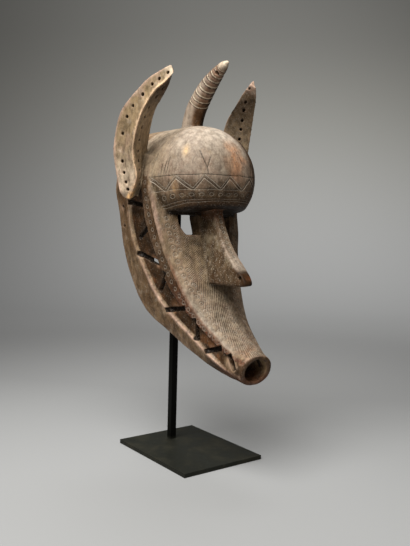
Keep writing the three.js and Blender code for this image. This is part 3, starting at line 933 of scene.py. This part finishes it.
def paint_panel(coat, w):
    panel, angle, patches = w.panel, w.bend, w.patches
    coat(TAN * 0.9, panel * 0.7)
    # Painted shade from the dome: the upper face darker, darkest in its middle next to the dome
    coat(colour(82, 68, 48), panel * fade(angle, 14, 36) * 0.75)
    coat(DARK, panel * fade(angle, 2, 16) * fade(w.u, 0.6, 0.8) * 0.8)
    coat(GREY, panel * ramp(angle, 30, 55) * 0.5)
    coat(GREY * 1.15, panel * ramp(w.u, 0.72, 0.92) * ramp(angle, 33, 50) * 0.8)
    # Painted shade on the far side of the face, away from the key lamp
    coat(DARK, panel * ramp(w.x, 4, 26) * 0.45)
    coat(AMBER * 0.8, panel * ramp(angle, 68, 76) * ramp(patches, -0.3, 0.5) * 0.5)
    coat(DARK * 0.7, panel * ramp(patches, 0.1, 0.8) * 0.35)
    # Near edge only: rose painted highlight over a worn strip, then a rusty stretch
    edge = panel * ramp(w.u, 0.93, 0.98) * (w.x < 0)
    coat(ROSE * 0.9, edge * ramp(angle, -4, 4) * fade(angle, 12, 24) * 0.8)
    coat(RUST * 0.8, edge * ramp(angle, 20, 34) * fade(angle, 62, 70) * 0.7)


def paint_side(coat, w):
    """Dark carved band, darker row of teeth, streaked jaw bar with painted shade low by the snout, and a
    painted highlight on its lip.
    """
    side, angle, place, jaw_place = w.side, w.bend, w.band_place, w.jaw_place
    band = side * ramp(place, -0.05, 0.1) * fade(place, 0.95, 1.1)
    coat(DARK * 0.45, band * (0.85 + 0.1 * w.drift))
    coat(RUST * 0.5, band * ramp(angle, 30, 46) * 0.9)
    teeth = side * ramp(place, 0.98, 1.1) * fade(jaw_place, -4, -2)
    coat(DARK * 0.3, teeth * 0.95)
    coat(AMBER * 0.45, teeth * ramp(w.patches, 0.1, 0.6) * 0.6)
    coat(BLACK_BROWN, teeth * fade(angle, 14, 24) * 0.6)
    jaw = side * ramp(jaw_place, 1, 4)
    coat(DARK * 0.7, jaw * (0.4 + 0.3 * w.drift))
    coat(DARK * 0.7, jaw * fade(angle, 8, 30) * 0.4)
    # Painted shade low on the jaw near the snout
    coat(DARK * 0.4, side * ramp(angle, 58, 66) * ramp(jaw_place, -2, 3) * 0.95)
    # Painted highlight along the jaw bar's lip
    coat(ROSE * 1.15, side * hump(jaw_place, 0.5, 1.6) * ramp(angle, 16, 34) * 0.85)


def paint_dome(coat, w):
    """Pale top, dark carved band below that is partly painted shade, painted shade on the far side, an
    orange patch, two pale spots and a black painted shade on the underside.
    """
    dome, turn, z, patches = w.dome, w.turn, w.z, w.patches
    coat(GREY * 0.95, dome * 0.85)
    coat(PALE, dome * ramp(z, 436, 482) * 0.9)
    coat(TAN, dome * fade(turn, -85, -60) * 0.6)
    # Lower dome: darker carved wood and painted shade where it turns down
    coat(BROWN * 0.4, dome * fade(z, 402, 422) * 0.9)
    coat(colour(74, 58, 34), dome * fade(z, 384, 402) * ramp(turn, -110, -60) * 0.8)
    coat(BLACK_BROWN, dome * fade(z, 404, 416) * ramp(patches, 0.0, 0.45) * 0.5)
    # Painted shade on the dome's far side, away from the key lamp
    coat(DARK * 0.6, dome * ramp(turn, 20, 38))
    # Painted shade just above the dome's lower edge
    coat(DARK * 0.5, dome * fade(w.dome_edge, 7, 18) * ramp(turn, -80, -45) * 0.8)
    orange = fade(np.abs(turn - 7 - 7 * patches), 1, 17)
    coat(AMBER * 1.1, dome * orange * ramp(z, 400, 425) * fade(z, 452, 474) * 0.6)
    coat(colour(205, 172, 122), dome * hump(turn, -52, 3.2) * hump(z, 450, 7) * 0.8)
    spot = hump(turn, -63, 5) * hump(z, 400, 11)
    coat(colour(158, 124, 84), dome * spot * ramp(patches, -0.6, 0.2) * 0.8)
    # Painted shade: the dome's underside made nearly black
    under = fade(w.dome_edge, 2, 5) * ramp(w.dome_edge, -5, -3) * (w.y < 20)
    coat(BLACK_BROWN * 0.4, under * (1 - w.side) * fade(np.abs(w.x), 58, 68))


def paint_nose(coat, w):
    nose, z = w.nose, w.z
    coat(colour(110, 97, 78), nose * 0.95)
    coat(DARK * 0.6, nose * ramp(w.patches, -0.4, 0.3) * 0.65)
    coat(DARK * 0.5, nose * fade(z, 274, 306) * 0.7)
    coat(PALE * 0.95, nose * ramp(-w.nose_back, -7, -2) * fade(z, 290, 330) * 0.6)
    coat(RUST * 0.9, nose * ramp(z, 350, 362) * 0.6)
    coat(DARK * 0.3, w.knob)
    coat(RUST * 0.9, w.knob * hump(z, 276, 3) * ramp(w.x, -4, 2) * 0.45)


def paint_horn(coat, w):
    horn, t, x = w.horn, w.horn_t, w.x
    coat(colour(102, 74, 50), horn)
    coat(ROSE, horn * ramp(t, 0.4, 0.5) * fade(t, 0.82, 0.9) * 0.25)
    coat(CREAM * 1.6, horn * ramp(t, 0.86, 0.93))
    coat(CREAM * 0.8, horn * ramp(t, 0.78, 0.82) * ramp(-x, -2, 4) * 0.8)
    # Lamp side paler and far side darker: painted highlight and painted shade over the patina
    coat(PALE, horn * ramp(-x, 8, 13) * 0.6)
    coat(DARK * 0.3, horn * ramp(x, -3, 6) * 0.92)


def paint_ears(coat, w):
    """The near ear is pale along its ridge and outer rim, from wear and a painted highlight, and orange
    at its lower end, the far one darker.
    """
    ear, t, x, patches = w.ear, w.ear_t, w.x, w.patches
    outer, inner = ear * w.ear_facet, ear * (1 - w.ear_facet)
    near, far = ear * (x < 0), ear * (x > 0)
    coat(colour(132, 113, 86), outer * 0.9)
    coat(colour(196, 176, 152), outer * ramp(t, 0.5, 0.8) * 0.85)
    coat(ROSE, outer * ramp(patches, 0.2, 0.7) * 0.4)
    coat(TAN * 1.35, inner * 0.85)
    coat(DARK * 0.4, inner * fade(t, 0.2, 0.42) * np.where(x > 0, 0.6, 0.95))
    coat(DARK, far * fade(t, 0.3, 0.6) * 0.3)
    coat(ROSE, far * fade(t, 0.02, 0.14) * 0.8)
    # Pale ridge and rim of the near ear: wear and painted highlight
    coat(colour(226, 192, 154), near * fade(w.ear_front, 1.6, 3.2 + 3 * fade(t, 0.05, 0.3)))
    coat(ROSE * 1.3, near * fade(w.ear_outer, 1.2, 3) * 0.7)
    low = ramp(t, 0.84, 0.97) * fade(w.ear_front, 4, 12)
    coat(colour(255, 200, 138) * 1.5, near * low * ramp(patches, -0.9, -0.2))
    coat(CREAM, near * fade(t, 0.02, 0.08) * 0.7)
    coat(CREAM * 1.25, w.filler)


def paint_hollows(coat, w):
    """Dark end and underside of the snout, darker inside, and black painted shade in the slits."""
    coat(DARK * 0.55, w.snout_end * 0.85)
    coat(RUST * 0.4, ramp(w.bend, 66, 71) * ramp(w.r, 240, 252) * 0.85)
    coat(DARK * 0.5, w.inside * 0.9)
    # Painted shade: the slits' walls made nearly black
    coat(BLACK_BROWN * 0.6, w.slit)


def wood_tint(w):
    """Broad colours of the patina over the mask, laid on coat by coat."""
    tint = np.tile(BROWN, (len(w.x), 1))

    def coat(tone, weight):
        nonlocal tint
        tint = mix(tint, tone, np.clip(weight, 0, 1)[:, None])

    coat(DARK, ramp(w.drift, 0.0, 0.7) * 0.5)
    for lay in (paint_panel, paint_side, paint_dome, paint_nose, paint_horn, paint_ears, paint_hollows):
        lay(coat, w)
    return tint


def flaking(w):
    """How much pale flaked dust lies on each part."""
    far_ear = w.ear * (w.x > 0)
    return np.clip(0.25 + 0.45 * w.nose - 0.7 * w.knob + 0.7 * far_ear + 0.15 * w.dome, 0, 1)


# Building the mask

def build_mask():
    axes, field = mask_grid()
    vertices, quads = surface_net(axes, field)
    normals = vertex_normals(vertices, quads)
    cuts = carvings(vertices, surface_places(vertices))
    hand = sum(depth * lattice_noise(vertices, size, seed) for depth, size, seed in HAND_CUTS)
    shaped = vertices - normals * (cuts.depth + HAND_DEPTH + hand)[:, None]
    mesh = thinned(make_mesh("mask_carving", shaped, quads), TRIANGLES)

    vertices, normals, edges = mesh_arrays(mesh)
    w = surface_places(vertices)
    cuts = carvings(vertices, w)
    hollow = hollowness(vertices, normals, edges, 4)
    broad = hollowness(vertices, normals, edges, 40)
    details = {
        "dust": cuts.dust,
        # Grime and shade in cracks, and painted shade in small and broad hollows
        "dirt_and_shade": np.maximum(cuts.dirt_and_shade, np.clip(hollow / 0.5, 0, 1) * 0.5 + np.clip(broad / 3, 0, 1) * 0.6),
        # Pale on convex edges: worn wood and a painted highlight
        "wear_and_highlight": np.clip(-hollow / 0.45, 0, 1) * (1 - 0.8 * w.knob),
        "flaking": flaking(w),
        "hatch": w.panel * fade(w.u, 0.66, 0.76) * ramp(w.bend, 8, 14),
    }
    for name in ("bend", "bend_mm", "turn", "turn_mm", "level", "edge", "x", "band_line", "horn_place",
                 "panel", "dome", "nose", "horn", "band"):
        details[name] = getattr(w, name)
    for name, values in details.items():
        attribute = mesh.attributes.new(name, "FLOAT", "POINT")
        attribute.data.foreach_set("value", np.asarray(values, np.float32))
    tint = np.column_stack([wood_tint(w), np.ones(len(vertices))])
    attribute = mesh.attributes.new("tint", "FLOAT_COLOR", "POINT")
    attribute.data.foreach_set("color", tint.astype(np.float32).ravel())

    mesh.vertices.foreach_set("co", (vertices * MM).astype(np.float32).ravel())
    mesh.shade_smooth()
    mesh.update()
    return add_object("mask_carving", mesh)


# Materials

class Nodes:
    """Short calls for building a node tree."""

    def __init__(self, name):
        self.material = bpy.data.materials.new(name)
        self.material.use_nodes = True
        self.tree = self.material.node_tree
        self.shader = self.tree.nodes["Principled BSDF"]

    def link(self, source, target):
        self.tree.links.new(source, target)

    def put(self, socket, value):
        if isinstance(value, bpy.types.NodeSocket):
            self.link(value, socket)
        elif isinstance(value, np.ndarray):
            socket.default_value = (*value, 1.0)
        else:
            socket.default_value = value

    def add(self, kind, **settings):
        node = self.tree.nodes.new(kind)
        for key, value in settings.items():
            setattr(node, key, value)
        return node

    def get(self, name, output="Fac"):
        return self.add("ShaderNodeAttribute", attribute_name=name).outputs[output]

    def set(self, name, value):
        self.put(self.shader.inputs[name], value)

    def math(self, operation, a, b=0.0, c=0.0, clamp=False):
        node = self.add("ShaderNodeMath", operation=operation, use_clamp=clamp)
        for socket, value in zip(node.inputs, (a, b, c)):
            self.put(socket, value)
        return node.outputs[0]

    def noise(self, scale, detail=3.0, roughness=0.5, stretch=(1, 1, 1)):
        """Noise in metres, so a scale of 100 has lumps of about a centimetre."""
        place = self.add("ShaderNodeTexCoord").outputs["Object"]
        mapping = self.add("ShaderNodeMapping")
        mapping.inputs["Scale"].default_value = stretch
        self.link(place, mapping.inputs["Vector"])
        node = self.add("ShaderNodeTexNoise")
        node.inputs["Scale"].default_value = scale
        node.inputs["Detail"].default_value = detail
        node.inputs["Roughness"].default_value = roughness
        self.link(mapping.outputs["Vector"], node.inputs["Vector"])
        return node.outputs["Fac"]

    def fit(self, value, low, high, to_low=0.0, to_high=1.0):
        node = self.add("ShaderNodeMapRange", interpolation_type="SMOOTHSTEP")
        for key, number in (("Value", value), ("From Min", low), ("From Max", high),
                            ("To Min", to_low), ("To Max", to_high)):
            self.put(node.inputs[key], number)
        return node.outputs["Result"]

    def offset(self, place, first, spacing):
        """Offset from the nearest of evenly spaced centres."""
        turns = self.math("MULTIPLY_ADD", place, 1 / spacing, 0.5 - first / spacing)
        return self.math("MULTIPLY_ADD", self.math("FRACT", turns), spacing, -0.5 * spacing)

    def line(self, distance, width):
        """1 on a line, 0 beyond its width."""
        return self.fit(self.math("ABSOLUTE", distance), 0.2 * width, 0.6 * width, 1.0, 0.0)

    def within(self, value, low, high):
        return self.times(self.math("GREATER_THAN", value, low), self.math("LESS_THAN", value, high))

    def times(self, *values):
        return reduce(lambda a, b: self.math("MULTIPLY", a, b), values)

    def most(self, *values):
        return reduce(lambda a, b: self.math("MAXIMUM", a, b), values)

    def away(self, value, place):
        """Distance from a place on either side of 0."""
        return self.math("SUBTRACT", self.math("ABSOLUTE", value), place)

    def blend(self, a, b, factor, kind="MIX"):
        node = self.add("ShaderNodeMix", data_type="RGBA", blend_type=kind)
        self.put(node.inputs["Factor"], factor)
        self.put(node.inputs[6], a)
        self.put(node.inputs[7], b)
        return node.outputs[2]

    def bump(self, height, strength, distance, below=None):
        node = self.add("ShaderNodeBump")
        node.inputs["Strength"].default_value = strength
        node.inputs["Distance"].default_value = distance
        self.link(height, node.inputs["Height"])
        if below is not None:
            self.link(below, node.inputs["Normal"])
        return node.outputs["Normal"]


def ring_marks(n):
    """Pale rings and dark dots of all the rows."""
    rings, dots = [], []
    for part, along, across, value, first, last, spacing, radius in RING_ROWS:
        place = n.get(along)
        step = n.offset(place, first, spacing)
        if along in SCALES:
            step = n.times(step, n.get(SCALES[along]))
        side = n.math("SUBTRACT", n.get(across), value)
        d = n.math("SQRT", n.math("ADD", n.times(step, step), n.times(side, side)))
        on = n.within(place, first - spacing / 2, last + spacing / 2)
        on = n.times(on, n.get(part), 0.5 if part == "panel" else 0.65)
        rings.append(n.times(n.line(n.math("SUBTRACT", d, radius), 1.3), on))
        dots.append(n.times(n.line(d, 2.2), on))
    return n.most(*rings), n.most(*dots)


def dome_marks(n):
    """Pale and dark lines round the dome."""
    level, dome = n.get("level"), n.get("dome")
    half = ZIGZAG_SPAN / 2
    phase = n.math("ADD", n.offset(n.get("turn"), ZIGZAG_START + half, ZIGZAG_SPAN), half)
    down = n.math("MULTIPLY_ADD", phase, -ZIGZAG_HEIGHT / ZIGZAG_DOWN, ZIGZAG_TOP)
    up = n.math("MULTIPLY_ADD", phase, ZIGZAG_CLIMB, ZIGZAG_LOW - ZIGZAG_DOWN * ZIGZAG_CLIMB)
    off = n.times(n.math("SUBTRACT", level, n.math("MAXIMUM", down, up)), ZIGZAG_SLOPE)
    span = n.within(level, *ZIGZAG_LEVELS)
    pale = [n.times(n.line(n.away(off, 1.9), 1.2), span)]
    dark = [n.times(n.line(n.away(off, 0.7), 1.0), span, 0.7)]
    for height, width, tone in DOME_LINES:
        mark = n.times(n.line(n.math("SUBTRACT", level, height), width), abs(tone))
        (pale if tone > 0 else dark).append(mark)
    return n.times(n.most(*pale), dome), n.times(n.most(*dark), dome)


def horn_marks(n):
    first, last, spacing = HORN_RINGS
    place = n.get("horn_place")
    off = n.times(n.offset(place, first, spacing), HORN_LENGTH)
    on = n.times(n.within(place, first - 0.02, last + 0.02), n.get("horn"))
    pale = n.times(n.line(off, 1.5), on)
    return pale, n.times(n.line(n.math("ADD", off, 1.5), 1.5), on)


def hatching(n):
    """Slanted hatching in turned strips between the eyes, lengthwise under the nose."""
    across = n.get("x")
    along = n.times(n.get("bend"), n.get("bend_mm"))
    slant = n.math("MULTIPLY_ADD", n.math("PINGPONG", across, HATCH_STRIP), HATCH_SLANT, along)
    long = n.math("MULTIPLY_ADD", along, LONG_SLANT, across)
    slant, long = n.math("PINGPONG", slant, HATCH_STEP), n.math("PINGPONG", long, LONG_STEP)
    strokes = n.blend(slant, long, n.fit(n.get("bend"), *HATCH_TURNS))
    patchy = n.fit(n.noise(110, 2, 0.5), 0.3, 0.5, 0.3, 1.0)
    return n.times(n.fit(strokes, 0.2, 1.1, 1.0, 0.0), n.get("hatch"), patchy)


def carved_wood():
    n = Nodes("carved_wood")
    tint = n.get("tint", "Color")
    grain = n.noise(260, 4, 0.6, (1, 1, 0.16))
    streaks = n.noise(110, 3, 0.6, (1, 1, 0.2))
    mottle = n.noise(75, 6, 0.68)
    blots = n.noise(190, 4, 0.6)
    broad = n.noise(24, 3, 0.5)
    specks = n.noise(480, 3, 0.6)

    cloud = n.fit(n.noise(130, 5, 0.7, (1, 1, 0.5)), 0.34, 0.66, 0.62, 1.36)
    tint = n.blend(tint, cloud, 1.0, "MULTIPLY")
    grey = n.add("ShaderNodeRGBToBW")
    n.link(tint, grey.inputs[0])
    dusty = n.fit(grey.outputs[0], 0.01, 0.13, 0.1, 1.0)
    calm = n.fit(n.get("level"), 425, 465, 1.0, 0.35)
    base = n.blend(tint, DARK * 0.7, n.times(calm, n.fit(mottle, 0.50, 0.68, 0.0, 0.45)))
    base = n.blend(base, PALE, n.times(dusty, n.fit(mottle, 0.46, 0.34, 0.0, 0.3)))
    base = n.blend(base, DARK * 0.7, n.times(calm, n.fit(blots, 0.54, 0.70, 0.0, 0.5)))
    base = n.blend(base, BLACK_BROWN, n.times(calm, n.fit(grain, 0.52, 0.70, 0.0, 0.45)))
    base = n.blend(base, TAN, n.times(dusty, n.fit(streaks, 0.54, 0.72, 0.0, 0.4)))

    hatch = hatching(n)
    base = n.blend(base, BLACK_BROWN, n.times(hatch, 0.65))
    # Painted shade in hollows and darkened cracks, made patchy
    dirt_and_shade = n.math("MULTIPLY", n.get("dirt_and_shade"), n.fit(mottle, 0.25, 0.6, 0.6, 1.0), clamp=True)
    base = n.blend(base, BLACK_BROWN * 0.7, n.times(dirt_and_shade, 0.85))
    # Rose on convex edges: wear and painted highlight
    wear_and_highlight = n.times(n.get("wear_and_highlight"), n.fit(broad, 0.3, 0.6, 0.5, 1.0), dusty, 0.6)
    base = n.blend(base, ROSE * 1.2, wear_and_highlight)

    rings, dots = ring_marks(n)
    dome_pale, dome_dark = dome_marks(n)
    horn_pale, horn_dark = horn_marks(n)
    pale = n.most(rings, dome_pale, n.get("dust"))
    dark = n.most(dots, dome_dark, horn_dark)
    rubbed = n.fit(blots, 0.3, 0.5, 0.55, 1.0)
    base = n.blend(base, BLACK_BROWN, n.times(dark, rubbed, 0.7))
    base = n.blend(base, PALE * 1.1, n.times(pale, rubbed, 0.6))
    base = n.blend(base, CREAM, n.times(horn_pale, rubbed, 0.85))
    flakes = n.times(n.get("flaking"), n.fit(specks, 0.56, 0.68, 0.0, 0.7))
    base = n.blend(base, PALE * 1.1, flakes)
    n.set("Base Color", base)

    n.set("Specular IOR Level", 0.18)
    n.set("Roughness", n.fit(mottle, 0.3, 0.7, 0.42, 0.68))
    fine = n.math("ADD", n.times(grain, 0.6), n.times(blots, 0.5))
    normal = n.bump(fine, 0.7, 0.0014)
    cuts = n.most(hatch, pale, dark, horn_pale)
    normal = n.bump(n.times(cuts, -1.0), 0.7, 0.0006, normal)
    n.set("Normal", normal)
    return n.material


def black_steel():
    n = Nodes("black_steel")
    broad = n.noise(30, 4, 0.6)
    fine = n.noise(900, 3, 0.6)
    dusty = n.noise(160, 5, 0.65)
    height = n.add("ShaderNodeSeparateXYZ")
    n.link(n.add("ShaderNodeTexCoord").outputs["Object"], height.inputs[0])
    low = n.fit(height.outputs["Z"], 0.005, 0.012, 1.0, 0.12)
    base = n.blend(colour(38, 39, 35), colour(52, 51, 44), n.fit(broad, 0.4, 0.75))
    base = n.blend(base, colour(82, 80, 70), n.fit(dusty, 0.56, 0.75, 0.0, 0.3))
    base = n.blend(colour(10, 11, 10), base, low)
    n.set("Base Color", base)
    n.set("Metallic", 0.0)
    n.set("Specular IOR Level", 0.06)
    n.set("Roughness", n.fit(broad, 0.3, 0.7, 0.45, 0.62))
    n.set("Normal", n.bump(fine, 0.25, 0.0003))
    return n.material


# Camera and studio

# The photograph's frame is 546 pixels high, and the camera's focal length is given in its pixels
FRAME_HEIGHT = 546
FOCAL_PIXELS = 675
SENSOR = 36
CAMERA_PLACE = (-0.6014, -0.8216, 0.3516)
CAMERA_AZIMUTH = math.radians(-37.0805)
CAMERA_RISE = math.radians(4.3011)
CAMERA_ROLL = math.radians(1.5359)
# Level directions across the picture and away from the camera
ACROSS = Vector((math.cos(CAMERA_AZIMUTH), math.sin(CAMERA_AZIMUTH), 0))
AWAY = Vector((-math.sin(CAMERA_AZIMUTH), math.cos(CAMERA_AZIMUTH), 0))

# Lamps: place, what they look at, size, watts and colour
LAMPS = {
    "key": ((-0.95, -0.45, 1.80), (0, 0, 0.35), 1.5, 66, (1, 0.98, 0.94)),
    "wall": ((0.9, 1.1, 2.6), (1.9, 2.2, 0.6), 1.5, 36, (1, 1, 1)),
}

# Floor: its front edge, where it starts to curve up, the radius of the curve, the wall's height
# and half the width of both
FLOOR_FRONT, FLOOR_BEND, FLOOR_CURVE = -8.0, 1.5, 1.4
WALL_TOP, FLOOR_HALF = 5.0, 12.0


def add_camera():
    back = -AWAY * math.cos(CAMERA_RISE) + Vector((0, 0, math.sin(CAMERA_RISE)))
    up = back.cross(ACROSS)
    turn = Matrix.Rotation(CAMERA_ROLL, 3, "Z")
    data = bpy.data.cameras.new("camera")
    data.sensor_width = SENSOR
    data.lens = FOCAL_PIXELS / FRAME_HEIGHT * SENSOR
    camera = add_object("camera", data)
    axes = Matrix((ACROSS, up, back)).transposed() @ turn
    camera.matrix_world = Matrix.Translation(CAMERA_PLACE) @ axes.to_4x4()
    bpy.context.scene.camera = camera


def add_lamp(name, spot, target, size, power, tone):
    data = bpy.data.lights.new(name, "AREA")
    data.size = size
    data.energy = power
    data.color = tone
    lamp = add_object(name, data)
    lamp.location = spot
    lamp.rotation_euler = (Vector(target) - Vector(spot)).to_track_quat("-Z", "Y").to_euler()


def backdrop():
    """Pale grey with painted light, brightest on the floor round the mask and on the wall behind it."""
    n = Nodes("studio_floor")
    position = n.add("ShaderNodeNewGeometry").outputs["Position"]

    def measure(operation, vector):
        node = n.add("ShaderNodeVectorMath", operation=operation)
        n.put(node.inputs[0], position)
        n.put(node.inputs[1], vector)
        return node.outputs["Value"]

    # Painted pool of light on the floor round the mask
    near = n.fit(measure("DISTANCE", (-0.12, -0.16, 0)), 0.15, 1.4, 0.365, 0.09)
    # Painted light on the wall behind, fading with distance and height, brighter to the right
    far = measure("DISTANCE", (1.98, 2.01, 0.35))
    painted_wall_light = n.math("SUBTRACT", 0.28, n.times(far, far, 0.045))
    painted_wall_light = n.math("MAXIMUM", painted_wall_light, 0.0)
    height = measure("DOT_PRODUCT", (0, 0, 1))
    painted_wall_light = n.times(painted_wall_light, n.fit(height, 0.1, 2.0, 1.0, 0.1))
    painted_wall_light = n.times(painted_wall_light, n.fit(measure("DOT_PRODUCT", ACROSS), -1.6, 1.8, 0.62, 1.45))
    shade = n.math("ADD", near, painted_wall_light)
    tone = n.blend((0.98, 1.0, 1.02, 1), (1.01, 1.01, 0.95, 1), n.fit(height, 0.0, 1.2))
    n.set("Base Color", n.blend(tone, shade, 1.0, "MULTIPLY"))
    n.set("Roughness", 0.85)
    return n.material


def add_studio():
    world = bpy.data.worlds.new("studio")
    world.use_nodes = True
    background = world.node_tree.nodes["Background"]
    background.inputs["Color"].default_value = (0.66, 0.61, 0.52, 1)
    background.inputs["Strength"].default_value = 0.19
    bpy.context.scene.world = world

    # Floor that sweeps up into a wall far behind the mask
    curve = [(FLOOR_BEND + FLOOR_CURVE * math.sin(t), FLOOR_CURVE * (1 - math.cos(t)))
             for t in np.linspace(0, math.pi / 2, 25)]
    profile = [(FLOOR_FRONT, 0.0), *curve, (FLOOR_BEND + FLOOR_CURVE, WALL_TOP)]
    vertices = [ACROSS * side + AWAY * distance + Vector((0, 0, height))
                for distance, height in profile for side in (-FLOOR_HALF, FLOOR_HALF)]
    faces = [(2 * i, 2 * i + 1, 2 * i + 3, 2 * i + 2) for i in range(len(profile) - 1)]
    mesh = make_mesh("floor", vertices, faces)
    mesh.shade_smooth()
    mesh.materials.append(backdrop())
    floor = add_object("floor", mesh)

    for name, lamp in LAMPS.items():
        add_lamp(name, *lamp)



# The scene

bpy.context.scene.view_settings.view_transform = "Standard"
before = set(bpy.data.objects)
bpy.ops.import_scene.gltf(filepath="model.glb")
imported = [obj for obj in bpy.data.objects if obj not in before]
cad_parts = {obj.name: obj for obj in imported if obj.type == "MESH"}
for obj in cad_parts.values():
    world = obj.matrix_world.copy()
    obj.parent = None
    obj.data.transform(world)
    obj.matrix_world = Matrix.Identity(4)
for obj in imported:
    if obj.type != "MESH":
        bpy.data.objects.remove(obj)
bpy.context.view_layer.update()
add_camera()
add_studio()

mask = build_mask()
mask.data.materials.clear()
mask.data.materials.append(carved_wood())
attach(mask, "root")
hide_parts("mask")

steel = black_steel()
for name in ("base_plate", "post", "cradle"):
    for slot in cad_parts[name].material_slots:
        slot.material = steel
